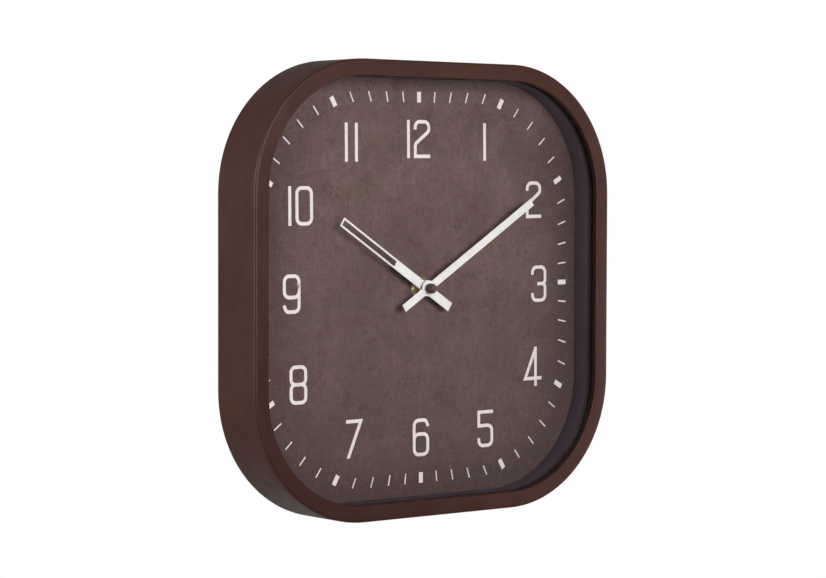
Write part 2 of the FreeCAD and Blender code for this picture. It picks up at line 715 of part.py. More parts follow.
def hanger_plate():
    body = new_body("hanger_plate")
    plate = face_sketch(body, "plate", "cover_height - hanger_thick", z="hanger_rise")
    add_round_rectangle(plate, "hanger_half_width", "hanger_half_tall", "hanger_corner")
    pad(body, plate, "hanger_thick")
    entry_z = "hanger_rise - keyhole_drop"
    entry = face_sketch(body, "entry", "cover_height", z=entry_z)
    add_circle(entry, "keyhole_entry")
    pocket(body, entry, "hanger_thick")
    slot = face_sketch(body, "slot", "cover_height", z=f"{entry_z} + keyhole_rise / 2")
    add_round_rectangle(slot, "keyhole_slot", "keyhole_rise / 2 + keyhole_slot",
                        "keyhole_slot - keyhole_flat")
    pocket(body, slot, "hanger_thick")
    rivets = face_sketch(body, "rivets", "cover_height", z="hanger_rise")
    add_circle(rivets, "rivet_radius", "rivet_spread")
    add_circle(rivets, "rivet_radius", "-rivet_spread")
    pocket(body, rivets, "hanger_thick")
    return body


def hanger_rivets():
    plate_back = value("cover_height - hanger_thick")
    cover_front = value(COVER_FRONT)
    rise = value("rivet_head_rise")
    shapes = []
    for side in (-1, 1):
        at = (side * value("rivet_spread"), value("hanger_rise"))
        front = Vector(0, -1, 0)
        shank = Part.makeCylinder(value("rivet_radius"), cover_front - plate_back,
                                  Vector(at[0], -plate_back, at[1]), front)
        for height in (plate_back - rise, cover_front):
            head = Part.makeCylinder(value("rivet_head"), rise, Vector(at[0], -height, at[1]), front)
            shank = shank.fuse(head)
        shapes.append(shank.removeSplitter())
    return group("hanger_rivets", shapes)


# ---------------------------------------------------------------- movement case

MOVEMENT_INSIDE = "movement_half - movement_wall"
FRONT_INSIDE = "movement_front - movement_wall"
BACK_INSIDE = "movement_back + movement_wall"
PLATE_FRONT = "plate_height + plate_thick"
BOARD_FRONT = "board_height + board_thick"
STATOR_FRONT = "stator_height + stator_thick"
PILLARS = (("pillar_left", "pillar_low"), ("pillar_right", "pillar_right_low"),
           ("pillar_left", "pillar_top"))
BOARD_POSTS = (("low_post_x", "low_post_z"), ("high_post_x", "high_post_z"))
COIL_SCREWS = (("core_middle - coil_screw_spread", "coil_rise"),
               ("core_middle + coil_screw_spread", "coil_rise"))


def add_partition(body, low, length):
    """The wall between the battery bay and the gears."""
    wall = face_sketch(body, "partition", low)
    add_rectangle(wall, f"-({MOVEMENT_INSIDE})", MOVEMENT_INSIDE,
                  "-partition_top - partition_thick", "-partition_top")
    pad(body, wall, length)


def movement_front_shell():
    body = new_body("movement_front_shell")
    outside = face_sketch(body, "outside", "movement_split")
    add_square(outside, "movement_half", "movement_corner")
    pad(body, outside, "movement_front - movement_split")
    hollow = face_sketch(body, "hollow", FRONT_INSIDE)
    add_square(hollow, MOVEMENT_INSIDE, "movement_corner - movement_wall")
    pocket(body, hollow, f"{FRONT_INSIDE} - movement_split")
    add_partition(body, "movement_split", f"{FRONT_INSIDE} - movement_split")
    for name, low, radius, places in (
        ("pillars", PLATE_FRONT, "pillar_radius", PILLARS),
        ("board_posts", BOARD_FRONT, "pillar_radius", BOARD_POSTS),
        ("coil_posts", STATOR_FRONT, "coil_post", COIL_SCREWS),
        ("wheel_post", "minute_wheel_height - pinion_lead", "arbor_radius", (MINUTE_WHEEL,)),
    ):
        posts = face_sketch(body, name, low)
        for x, z in places:
            add_circle(posts, radius, x, z)
        pad(body, posts, f"{FRONT_INSIDE} - ({low})")
    bush = face_sketch(body, "bush", "movement_front")
    add_circle(bush, "bush_radius")
    pocket(body, bush, "movement_wall")
    pivots = face_sketch(body, "pivots", FRONT_INSIDE)
    for x, z in (THIRD, SETTING):
        add_circle(pivots, "arbor_radius + pivot_gap", x, z)
    pocket(body, pivots, "blind_depth", forward=True)
    cores = face_sketch(body, "coil_cores", STATOR_FRONT)
    for x, z in COIL_SCREWS:
        add_circle(cores, "coil_screw", x, z)
    pocket(body, cores, "coil_core", forward=True)
    return body


def movement_rear_shell():
    body = new_body("movement_rear_shell")
    outside = face_sketch(body, "outside", "movement_back")
    add_square(outside, "movement_half", "movement_corner")
    pad(body, outside, "movement_split - movement_back")
    hollow = face_sketch(body, "hollow", "movement_split")
    add_square(hollow, MOVEMENT_INSIDE, "movement_corner - movement_wall")
    pocket(body, hollow, f"movement_split - ({BACK_INSIDE})")
    add_partition(body, BACK_INSIDE, f"movement_split - ({BACK_INSIDE})")
    window = face_sketch(body, "battery_window", BACK_INSIDE)
    add_rectangle(window, "-battery_window", "battery_window", f"-({MOVEMENT_INSIDE})",
                  "-cell_drop + cell_radius + battery_gap")
    pocket(body, window, "movement_wall")
    shaft = face_sketch(body, "knob_hole", BACK_INSIDE)
    add_circle(shaft, "setting_shaft + pivot_gap", *SETTING)
    pocket(body, shaft, "movement_wall")
    return body


def threaded_bush():
    outside = cylinder("bush_outside", "bush_radius", FRONT_INSIDE, "bush_tip")
    bore = cylinder("bush_inside", "bush_bore", FRONT_INSIDE + " - overrun",
                    "bush_tip + overrun")
    return cut("threaded_bush", outside, bore)


def rubber_washer():
    outside = cylinder("rubber_outside", "rubber_radius", "movement_front",
                       "movement_front + rubber_thick")
    bore = cylinder("rubber_inside", "bush_radius", "movement_front - overrun",
                    "movement_front + rubber_thick + overrun")
    return cut("rubber_washer", outside, bore)


def brass_washer():
    top = "dial_height + washer_thick"
    outside = cylinder("washer_outside", "washer_radius", "dial_height", top)
    bore = cylinder("washer_inside", "bush_radius", "dial_height - overrun",
                    top + " + overrun")
    return cut("brass_washer", outside, bore)


def hex_nut():
    low = "dial_height + washer_thick"
    prism = doc.addObject("Part::Prism", "nut_outside")
    prism.Polygon = 6
    prism.Placement = Placement(Vector(0, 0, 0), Rotation(Vector(1, 0, 0), 90))
    prism.setExpression("Circumradius", bound("nut_flats / sqrt(3)"))
    prism.setExpression("Height", bound("nut_thick"))
    prism.setExpression("Placement.Base.y", bound(f"-({low})"))
    bore = cylinder("nut_inside", "bush_radius", low + " - overrun",
                    low + " + nut_thick + overrun")
    return cut("hex_nut", prism, bore)


# ---------------------------------------------------------------- hands

def turned(body, angle):
    """Turns a hand that was drawn at 12 to the time it shows."""
    body.Placement = Placement(Vector(0, 0, 0), Rotation(Vector(0, 1, 0), 1))
    body.setExpression("Placement.Rotation.Angle", bound(f"{angle} * 1 deg"))
    return body


def hand(name, half, tail, reach, height, bore):
    """A flat blade with square ends and a round hub."""
    body = new_body(name)
    blade = face_sketch(body, "blade", height)
    add_rectangle(blade, f"-{half}", half, f"-{tail}", reach)
    pad(body, blade, "hand_thick")
    hub = face_sketch(body, "hub", height)
    add_circle(hub, "hub_radius")
    pad(body, hub, "hand_thick")
    hole = face_sketch(body, "hole", f"{height} + hand_thick")
    add_circle(hole, bore)
    pocket(body, hole, "hand_thick")
    return body


def hour_hand():
    body = hand("hour_hand", "hour_half", "hour_tail", "hour_reach", "hour_height", "hour_pipe")
    slot = face_sketch(body, "slot", "hour_height + hand_thick")
    add_rectangle(slot, "-hour_half + slot_rail", "hour_half - slot_rail", "slot_start",
                  "hour_reach - slot_rail")
    pocket(body, slot, "hand_thick")
    return turned(body, "hour_angle")


def minute_hand():
    body = hand("minute_hand", "minute_half", "minute_tail", "minute_reach", "minute_height",
                "minute_shaft")
    return turned(body, "minute_angle")


def collet(name, radius, length, bore, height):
    """A turned ring behind a hand."""
    low = f"{height} - {length}"
    outside = cylinder(name + "_outside", radius, low, height)
    inside = cylinder(name + "_inside", bore, low + " - overrun", height + " + overrun")
    return cut(name, outside, inside)


def hour_wheel(angles):
    wheel = gear("hour_wheel_teeth_ring", "hour_wheel_teeth", "motion_module",
                 angles["hour_wheel"], "hour_wheel_height", "wheel_thick", CENTRE)
    pipe = cylinder("hour_pipe_outside", "hour_pipe", "hour_wheel_height", "hour_pipe_tip")
    bore = cylinder("hour_pipe_inside", "hour_pipe_bore", "hour_wheel_height - overrun",
                    "hour_pipe_tip + overrun")
    return cut("hour_wheel", fuse("hour_wheel_blank", wheel, pipe), bore)


def minute_arbor(angles):
    pinion = gear("cannon_pinion_ring", "cannon_teeth", "cannon_module", angles["cannon"],
                  "minute_wheel_height", "minute_wheel_thick", CENTRE)
    shaft = cylinder("minute_shaft_bar", "minute_shaft",
                     "minute_wheel_height + minute_wheel_thick", "minute_shaft_tip")
    foot = cylinder("minute_foot_bar", "minute_foot", "plate_height", "minute_wheel_height")
    hollow = cylinder("minute_foot_hollow", "thin_arbor + pivot_gap", "plate_height - overrun",
                      "plate_height + foot_bore")
    return cut("minute_arbor", fuse("minute_arbor_blank", pinion, shaft, foot), hollow)


def centre_cap():
    body = new_body("centre_cap")
    stem = face_sketch(body, "stem", "minute_height + hand_thick")
    add_circle(stem, "cap_stem")
    pad(body, stem, "cap_back - minute_height - hand_thick")
    head = face_sketch(body, "head", "cap_back")
    add_circle(head, "cap_radius")
    pad(body, head, "cap_front - cap_back")
    round_edges(body, "cap_round", "cap_front", "cap_radius")
    round_edges(body, "cap_rear_round", "cap_back", "cap_radius")
    bore = face_sketch(body, "bore", "cap_bore_end")
    add_circle(bore, "minute_shaft")
    pocket(body, bore, "cap_bore_end - minute_height - hand_thick")
    return body


# ---------------------------------------------------------------- wheels

def minute_wheel(angles):
    wheel = gear("minute_wheel_teeth_ring", "minute_wheel_teeth", "cannon_module",
                 angles["minute_wheel"], "minute_wheel_height", "minute_wheel_thick",
                 MINUTE_WHEEL)
    pinion_low = "minute_wheel_height + minute_wheel_thick"
    pinion = gear("motion_pinion_ring", "motion_pinion_teeth", "motion_module",
                  angles["motion_pinion"], pinion_low, "pinion_long", MINUTE_WHEEL)
    bore = cylinder("minute_wheel_bore", "arbor_radius + pivot_gap",
                    "minute_wheel_height - overrun", FRONT_INSIDE, *MINUTE_WHEEL)
    return cut("minute_wheel", fuse("minute_wheel_blank", wheel, pinion), bore)


def setting_arbor(angles):
    pinion = gear("setting_pinion_ring", "cannon_teeth", "cannon_module", angles["setting"],
                  "minute_wheel_height - setting_lead", "pinion_long", SETTING)
    shaft = cylinder("setting_shaft_bar", "setting_shaft", "knob_back + knob_web",
                     "setting_shaft_front", *SETTING)
    pivot = cylinder("setting_pivot", "arbor_radius", "setting_shaft_front", "pivot_front",
                     *SETTING)
    return fuse("setting_arbor", pinion, shaft, pivot)


def setting_knob():
    body = new_body("setting_knob")
    disc = face_sketch(body, "disc", "knob_back", *SETTING)
    add_circle(disc, "knob_radius")
    pad(body, disc, "knob_front - knob_back")
    flutes = face_sketch(body, "flutes", "knob_front", *SETTING)
    count = round(value("knob_flutes"))
    for flute in range(count):
        turn = 360 / count * flute
        add_circle(flutes, "knob_flute", f"knob_radius * cos({turn})",
                   f"knob_radius * sin({turn})")
    pocket(body, flutes, "knob_front - knob_back")
    bore = face_sketch(body, "bore", "knob_front", *SETTING)
    add_circle(bore, "setting_shaft")
    pocket(body, bore, "knob_front - knob_back - knob_web")
    return body


def centre_wheel(angles):
    wheel = gear("centre_wheel_ring", "centre_teeth", "centre_module", angles["centre"],
                 "centre_height", "wheel_thick", CENTRE)
    bore = cylinder("centre_wheel_bore", "minute_foot + pivot_gap", "centre_height - overrun",
                    "centre_height + wheel_thick + overrun")
    return cut("centre_wheel", wheel, bore)


def train_wheel(name, at, wheel, pinion, arbor):
    """A wheel, its pinion and its arbor in one moulding."""
    pieces = [gear(f"{name}_ring", *wheel, at), gear(f"{name}_leaves", *pinion, at)]
    pieces.append(cylinder(f"{name}_arbor", *arbor, *at))
    return fuse(name, *pieces)


def leaves(module, angle, wheel_height):
    """The pinion that drives or is driven by a wheel at a height."""
    return ("leaf_teeth", module, angle, f"{wheel_height} - pinion_lead", "pinion_long")


def third_wheel(angles):
    return train_wheel(
        "third_wheel", THIRD,
        ("third_teeth", THIRD_MODULE, angles["third"], "third_height", "wheel_thick"),
        leaves("centre_module", angles["third_pinion"], "centre_height"),
        ("arbor_radius", "arbor_back", "pivot_front"),
    )


def fourth_wheel(angles):
    return train_wheel(
        "fourth_wheel", CENTRE,
        ("fourth_teeth", "fourth_module", angles["fourth"], "fourth_height", "wheel_thick"),
        leaves(THIRD_MODULE, angles["fourth_pinion"], "third_height"),
        ("thin_arbor", "arbor_back", "plate_height + pivot_long"),
    )


def fifth_wheel(angles):
    return train_wheel(
        "fifth_wheel", FIFTH,
        ("fifth_teeth", "rotor_module", angles["fifth"], "fifth_height", "wheel_thick"),
        leaves("fourth_module", angles["fifth_pinion"], "fourth_height"),
        ("thin_arbor", "arbor_back", "arbor_front"),
    )


def rotor_pinion(angles):
    pinion = gear("rotor_pinion_ring", "rotor_teeth", "rotor_module", angles["rotor"],
                  "fifth_height - pinion_lead", "pinion_long", ROTOR)
    sleeve = cylinder("rotor_sleeve", "magnet_bore", "fifth_height - pinion_lead + pinion_long",
                      "magnet_low + magnet_long", *ROTOR)
    arbor = cylinder("rotor_arbor_bar", "rotor_arbor", "arbor_back", "arbor_front", *ROTOR)
    return fuse("rotor_pinion", pinion, sleeve, arbor)


def rotor_magnet():
    outside = cylinder("magnet_outside", "magnet_radius", "magnet_low",
                       "magnet_low + magnet_long", *ROTOR)
    bore = cylinder("magnet_inside", "magnet_bore", "magnet_low - overrun",
                    "magnet_low + magnet_long + overrun", *ROTOR)
    return cut("rotor_magnet", outside, bore)


# ---------------------------------------------------------------- plates

def plate_with_holes(name, height, holes):
    body = new_body(name)
    outline = face_sketch(body, "plate", height)
    add_rectangle(outline, "plate_left", "plate_right", "plate_low", "plate_top")
    pad(body, outline, "plate_thick")
    drilled = face_sketch(body, "holes", f"{height} + plate_thick")
    for radius, at in holes:
        add_circle(drilled, radius, *at)
    pocket(body, drilled, "plate_thick")
    return body


def middle_plate():
    return plate_with_holes("middle_plate", "plate_height", (
        ("third_clearance", THIRD),
        ("minute_foot + pivot_gap", CENTRE),
        ("thin_arbor + pivot_gap", FIFTH),
        ("rotor_arbor + pivot_gap", ROTOR),
    ))


def train_bridge():
    body = plate_with_holes("train_bridge", "bridge_height", (
        ("arbor_radius + pivot_gap", THIRD),
        ("thin_arbor + pivot_gap", CENTRE),
        ("thin_arbor + pivot_gap", FIFTH),
        ("rotor_arbor + pivot_gap", ROTOR),
    ))
    pillars = face_sketch(body, "pillars", "bridge_height + plate_thick")
    for x, z in PILLARS:
        add_circle(pillars, "pillar_radius", x, z)
    pad(body, pillars, "plate_height - bridge_height - plate_thick")
    return body


# ---------------------------------------------------------------- motor

CORE_LEFT = "core_middle - core_half_wide"
CORE_RIGHT = "core_middle + core_half_wide"
BOBBIN_LEFT = "core_middle - bobbin_half"
BOBBIN_RIGHT = "core_middle + bobbin_half"
COIL_HEIGHT = "stator_height - core_thick / 2"


def stator_plate():
    body = new_body("stator_plate")
    outline = face_sketch(body, "plate", "stator_height")
    add_rectangle(outline, CORE_LEFT, CORE_RIGHT, "stator_low", "stator_top")
    pad(body, outline, "stator_thick")
    notch = face_sketch(body, "notch", STATOR_FRONT)
    add_rectangle(notch, BOBBIN_LEFT + " - notch_gap", BOBBIN_RIGHT + " + notch_gap",
                  "notch_low", "stator_top + overrun")
    pocket(body, notch, "stator_thick")
    hole = face_sketch(body, "holes", STATOR_FRONT)
    add_circle(hole, "stator_hole", *ROTOR)
    for x, z in COIL_SCREWS:
        add_circle(hole, "coil_screw + pivot_gap", x, z)
    pocket(body, hole, "stator_thick")
    return body


def coil_core():
    body = new_body("coil_core")
    bar = face_sketch(body, "bar", "stator_height - core_thick")
    add_rectangle(bar, CORE_LEFT, CORE_RIGHT, "coil_rise - core_half_tall",
                  "coil_rise + core_half_tall")
    for x, z in COIL_SCREWS:
        add_circle(bar, "coil_screw + pivot_gap", x, z)
    pad(body, bar, "core_thick")
    return body


def lying_cylinder(name, radius, left, right, z, height):
    """A round bar along X."""
    bar = doc.addObject("Part::Cylinder", name)
    bar.Placement = Placement(Vector(0, 0, 0), Rotation(Vector(0, 1, 0), 90))
    bar.setExpression("Radius", bound(radius))
    bar.setExpression("Height", bound(f"({right}) - ({left})"))
    bar.setExpression("Placement.Base.x", bound(left))
    bar.setExpression("Placement.Base.y", bound(f"-({height})"))
    bar.setExpression("Placement.Base.z", bound(z))
    return bar


def coil_bobbin():
    def round_piece(name, radius, left, right):
        return lying_cylinder(name, radius, left, right, "coil_rise", COIL_HEIGHT)

    blank = fuse(
        "bobbin_blank",
        round_piece("bobbin_tube_bar", "bobbin_tube", BOBBIN_LEFT, BOBBIN_RIGHT),
        round_piece("bobbin_left_flange", "bobbin_flange", BOBBIN_LEFT,
                    f"{BOBBIN_LEFT} + bobbin_flange_thick"),
        round_piece("bobbin_right_flange", "bobbin_flange",
                    f"{BOBBIN_RIGHT} - bobbin_flange_thick", BOBBIN_RIGHT),
    )
    core = block("bobbin_window", f"{BOBBIN_LEFT} - overrun", f"{BOBBIN_RIGHT} + overrun",
                 "coil_rise - core_half_tall", "coil_rise + core_half_tall",
                 "stator_height - core_thick", "stator_height")
    return cut("coil_bobbin", blank, core)


def coil_winding():
    left = f"{BOBBIN_LEFT} + bobbin_flange_thick"
    right = f"{BOBBIN_RIGHT} - bobbin_flange_thick"
    wound = lying_cylinder("winding_outside", "winding_radius", left, right, "coil_rise",
                           COIL_HEIGHT)
    tube = lying_cylinder("winding_inside", "bobbin_tube", f"{left} - overrun",
                          f"{right} + overrun", "coil_rise", COIL_HEIGHT)
    return cut("coil_winding", wound, tube)


def coil_screws():
    screw = pan_screw(*(value(f"coil_screw{part}") for part in SCREW_PARTS),
                      value("stator_height - core_thick"))
    shapes = []
    for x, z in COIL_SCREWS:
        copy = screw.copy()
        copy.Placement = Placement(Vector(value(x), 0, value(z)), Rotation())
        shapes.append(copy)
    return group("coil_screws", shapes)


# ---------------------------------------------------------------- electronics

def labelled(piece, name):
    piece.Label = name
    return piece


def circuit_board():
    return labelled(block("board_block", "board_left", "board_right", "board_low", "board_top",
                          "board_height", BOARD_FRONT), "circuit_board")


def controller_chip():
    return labelled(block("chip_block", "chip_left", "chip_right", "chip_low", "chip_top",
                          "board_height - chip_thick", "board_height"), "controller_chip")


def quartz_crystal():
    can = doc.addObject("Part::Cylinder", "crystal_can")
    can.setExpression("Radius", bound("crystal_radius"))
    can.setExpression("Height", bound("crystal_long"))
    can.setExpression("Placement.Base.x", bound("(board_left + board_right) / 2"))
    can.setExpression("Placement.Base.y", bound("crystal_radius + crystal_gap - board_height"))
    can.setExpression("Placement.Base.z", bound("crystal_low"))
    return labelled(can, "quartz_crystal")


def battery_contact(name, side, reach_end):
    """A strip against the end wall of the battery bay, with a raised contact."""
    inner = f"({MOVEMENT_INSIDE} - contact_thick)"
    ends = (inner, MOVEMENT_INSIDE) if side > 0 else (f"-({MOVEMENT_INSIDE})", f"-{inner}")
    strip = block(name + "_strip", *ends, "-cell_drop - contact_half_tall",
                  "-cell_drop + contact_half_tall", "cell_height - contact_half_deep",
                  "cell_height + contact_half_deep")
    bump = (reach_end, inner) if side > 0 else (f"-{inner}", f"-{reach_end}")
    raised = lying_cylinder(name + "_bump", "contact_bump", *bump, "-cell_drop", "cell_height")
    return fuse(name, strip, raised)


def battery_cell():
    can = lying_cylinder("cell_can", "cell_radius", "-cell_half", "cell_shoulder", "-cell_drop",
                         "cell_height")
    nub = lying_cylinder("cell_nub_bar", "cell_nub", "cell_shoulder", "cell_nub_end",
                         "-cell_drop", "cell_height")
    return fuse("battery_cell", can, nub)


# ---------------------------------------------------------------- the whole clock

def build():
    fill_sheet()
    angles = phases()
    return [
        case_rim(), glass(), glass_gasket(), spacer_ring(), dial_board(),
        back_cover(), back_cover_screws(), hanger_plate(), hanger_rivets(),
        movement_front_shell(), movement_rear_shell(), threaded_bush(), rubber_washer(),
        brass_washer(), hex_nut(),
        hour_hand(),
        collet("hour_hand_collet", "hour_collet", "hour_collet_long", "hour_pipe", "hour_height"),
        hour_wheel(angles), minute_hand(),
        collet("minute_hand_collet", "minute_collet", "minute_collet_long", "minute_shaft",
               "minute_height"),
        minute_arbor(angles), centre_cap(),
        minute_wheel(angles), setting_arbor(angles), setting_knob(),
        centre_wheel(angles), third_wheel(angles), fourth_wheel(angles), fifth_wheel(angles),
        rotor_pinion(angles), rotor_magnet(),
        middle_plate(), train_bridge(),
        stator_plate(), coil_core(), coil_bobbin(), coil_winding(), coil_screws(),
        circuit_board(), controller_chip(), quartz_crystal(),
        battery_contact("positive_contact", 1, "positive_reach"),
        battery_contact("negative_contact", -1, "negative_reach"),
        battery_cell(),
    ]


def check(nodes):
    for item in doc.Objects:
        if "Invalid" in item.State or "Error" in item.State:
            raise RuntimeError(f"{item.Label} failed: {item.State}")
    for node in nodes:
        if node.Shape.isNull() or not node.Shape.isValid():
            raise RuntimeError(f"{node.Label} has no valid shape")


def export(nodes):
    os.makedirs("parts", exist_ok=True)
    for node in nodes:
        node.Shape.exportStep(f"parts/{node.Label}.step")
        box = node.Shape.BoundBox
        print(f"{node.Label:22s} {len(node.Shape.Solids):3d} solids {node.Shape.Volume:12.2f} mm3 "
              f"x {box.XMin:8.2f} {box.XMax:8.2f} y {box.YMin:7.2f} {box.YMax:7.2f} "
              f"z {box.ZMin:8.2f} {box.ZMax:8.2f}")


parts = build()
doc.recompute()
check(parts)
export(parts)
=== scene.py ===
import json
import math

import bmesh
import bpy
from mathutils import Matrix, Vector


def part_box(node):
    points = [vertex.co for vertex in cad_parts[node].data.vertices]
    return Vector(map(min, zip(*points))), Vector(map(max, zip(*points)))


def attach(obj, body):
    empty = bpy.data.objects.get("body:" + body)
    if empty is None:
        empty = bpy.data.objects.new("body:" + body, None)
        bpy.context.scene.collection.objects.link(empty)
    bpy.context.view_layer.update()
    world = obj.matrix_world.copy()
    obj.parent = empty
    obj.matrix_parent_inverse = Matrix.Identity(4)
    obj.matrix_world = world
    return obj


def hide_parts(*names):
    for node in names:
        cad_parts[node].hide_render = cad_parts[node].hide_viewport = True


# A rounded-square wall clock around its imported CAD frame. Metres, +Z up, the dial faces -Y, and a
# "height" is a distance in front of the wall, as in the CAD. MM turns millimetres into metres.

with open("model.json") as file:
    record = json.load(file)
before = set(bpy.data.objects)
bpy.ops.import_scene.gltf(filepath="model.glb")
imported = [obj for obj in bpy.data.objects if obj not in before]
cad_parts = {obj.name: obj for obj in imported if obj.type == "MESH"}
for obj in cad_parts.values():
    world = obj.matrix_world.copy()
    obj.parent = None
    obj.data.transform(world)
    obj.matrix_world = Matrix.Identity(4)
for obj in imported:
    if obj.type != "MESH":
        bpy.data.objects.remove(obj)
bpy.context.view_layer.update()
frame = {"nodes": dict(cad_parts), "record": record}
NODES = frame["nodes"]
MM = 0.001


def millimetres(node):
    """Lowest and highest corner of a CAD node, in millimetres."""
    low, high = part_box(node)
    return low / MM, high / MM


def heights(node):
    """Rear and front height of a CAD node."""
    low, high = millimetres(node)
    return -high.y, -low.y


# -------- sizes, in millimetres

CASE_HALF = millimetres("back_cover")[1].x + 3
CASE_DEPTH = heights("case_rim")[1]
CASE_CORNER = 116
CASE_WALL = 2.5
BEZEL_WIDTH = 14.5
LIP_BACK = heights("glass")[1]
DIAL_FRONT = heights("dial_board")[1]
DIAL_HALF = millimetres("dial_board")[1].x
STACK_OVERLAP = DIAL_HALF - (CASE_HALF - BEZEL_WIDTH)
BOSS_RADIUS = 3.5
BOSS_INSET = 5.8
BOSS_SPREAD = 60
BOSS_SINK = 0.5
COVER_THICK = 2.5
CORE_RADIUS = 1.1
CORE_DEPTH = 10
PRINT_TWIST = 0.566
PRINT_THICK = 0.09
PRINT_SINK = 0.02
SHEET_THICK = 0.4
SHEET_EDGE = 0.05
PLATE_EDGE = 0.3
DIAL_HOLE = 4.2
GASKET_SETBACK = 1
RING_WALL = 2.5
RING_FLANGE = 2
HUB_RADIUS = 7.2
HAND_EDGE = 0.12
FLAT_ENOUGH = 0.9999
HOUR_ANGLE = 302.63
HOUR_HALF = 4.25
HOUR_TAIL = 32.6
HOUR_REACH = 111
HOUR_PIPE = 2.55
SLOT_START = 41.2
SLOT_RAIL = 1.7
MINUTE_ANGLE = 57.96
MINUTE_HALF = 3.55
MINUTE_TAIL = 32.4
MINUTE_REACH = 143.7
MINUTE_SHAFT = 1.72
CAP_RADIUS = 4.5
CAP_BACK = 38
CAP_REAR_ROUND = 1.9
CAP_FRONT_ROUND = 4
CAP_STEM = 2.4
CAP_BORE_END = 38.4
BUSH_RADIUS = 4
BUSH_BORE = 2.65
BUSH_BREAK = 0.2
THREAD_PITCH = 0.75
THREAD_DEEP = 0.28
THREAD_RUNOUT = 0.6
WASHER_RADIUS = 9.9
NUT_FLATS = 11
NUT_TURN = math.radians(11)
NUT_CONE = 1.02
CELL_RADIUS = 7.1
CELL_HALF = 25.2
CELL_SHOULDER = 24.3
CELL_NUB_END = 25.3
CAN_RADIUS = 6.9
CAN_FOOT = 6.5
CAN_DISH = 0.35
NUB_RADIUS = 2.7
FINE_CUT = 0.3
BAND_START = 15
KNOB_PLACE = (14.43, -3.87)
KNOB_COLLAR = 5.3
COLLAR_WIDE = 0.8
SIGN_RISE = 0.45
SIGN_SINK = 0.2
SIGN_X = 20
SIGN_Z = -8.8
SIGN_LINE = 0.35
SIGN_ARM = 1.3
PANEL_MIDDLE = (-9, 15)
PANEL_HALF = (12, 7)
PANEL_LINE = 0.4
WINDOW_HALF = 34
COVER_BEAD_HALF = 184
COVER_BEAD_RISE = 0.6
SCREW_RING = 2.6


# -------- material building

def srgb(red, green, blue):
    """A linear colour from 0 to 255 display values."""
    def linear(value):
        share = value / 255
        return share / 12.92 if share <= 0.04045 else ((share + 0.055) / 1.055) ** 2.4

    return (linear(red), linear(green), linear(blue), 1)


class Paint:
    """The node tree of one material or world, built with short calls. Sizes are in millimetres."""

    def __init__(self, name, store=bpy.data.materials):
        self.owner = store.new(name)
        self.owner.use_nodes = True
        self.tree = self.owner.node_tree
        self.tree.nodes.clear()
        self.place = self.add("TexCoord").outputs["Object"]

    def add(self, kind, settings=None, **inputs):
        node = self.tree.nodes.new("ShaderNode" + kind)
        for name, value in (settings or {}).items():
            setattr(node, name, value)
        for name, value in inputs.items():
            self.feed(node.inputs[name.replace("_", " ")], value)
        return node

    def feed(self, socket, value):
        if isinstance(value, bpy.types.NodeSocket):
            self.tree.links.new(value, socket)
        else:
            socket.default_value = value

    def stretched(self, x, y, z):
        """The place with each axis multiplied, so that features get longer where this is small."""
        return self.add("Mapping", Vector=self.place, Scale=(x, y, z)).outputs["Vector"]

    def noise(self, size, detail=3.0, roughness=0.5, place=None, distortion=0.0):
        node = self.add("TexNoise", Vector=place or self.place, Scale=1 / (size * MM), Detail=detail,
                        Roughness=roughness, Distortion=distortion)
        return node.outputs["Fac"]

    def cells(self, size):
        return self.add("TexVoronoi", Vector=self.place, Scale=1 / (size * MM)).outputs["Distance"]

    def waves(self, size, kind, direction, distortion):
        settings = {"wave_type": kind, kind.lower() + "_direction": direction}
        node = self.add("TexWave", settings, Vector=self.place,
                        Scale=math.pi / (10 * size * MM), Distortion=distortion)
        return node.outputs["Fac"]

    def levels(self, value, low, high, to_low=0.0, to_high=1.0):
        node = self.add("MapRange", {"clamp": True, "interpolation_type": "SMOOTHSTEP"})
        for index, number in enumerate((value, low, high, to_low, to_high)):
            self.feed(node.inputs[index], number)
        return node.outputs["Result"]

    def maths(self, operation, first, second=0.0):
        node = self.add("Math", {"operation": operation})
        self.feed(node.inputs[0], first)
        self.feed(node.inputs[1], second)
        return node.outputs[0]

    def mix(self, share, first, second, blend="MIX"):
        node = self.add("Mix", {"data_type": "RGBA", "blend_type": blend})
        for index, value in ((0, share), (6, first), (7, second)):
            self.feed(node.inputs[index], value)
        return node.outputs[2]

    def axes(self):
        """The place's three coordinates, in metres."""
        return self.add("SeparateXYZ", Vector=self.place).outputs

    def distance(self, point):
        """How far the place is from a point, in metres."""
        node = self.add("VectorMath", {"operation": "DISTANCE"})
        self.feed(node.inputs[0], self.place)
        self.feed(node.inputs[1], point)
        return node.outputs["Value"]

    def bump(self, height, depth, under=None):
        """A normal from a 0 to 1 height field whose full depth is in millimetres."""
        node = self.add("Bump", Height=height, Strength=1.0, Distance=depth * MM)
        if under:
            self.feed(node.inputs["Normal"], under)
        return node.outputs["Normal"]

    def blend(self, share, first, second):
        """A mix of two shaders."""
        node = self.add("MixShader", Fac=share)
        self.feed(node.inputs[1], first.outputs[0])
        self.feed(node.inputs[2], second.outputs[0])
        return node

    def finish(self, shader, kind="Material"):
        self.add("Output" + kind, Surface=shader.outputs[0])
        return self.owner

    def surface(self, colour, rough, normal, **others):
        return self.finish(self.add("BsdfPrincipled", Base_Color=colour, Roughness=rough,
                                    Normal=normal, **others))


# -------- materials

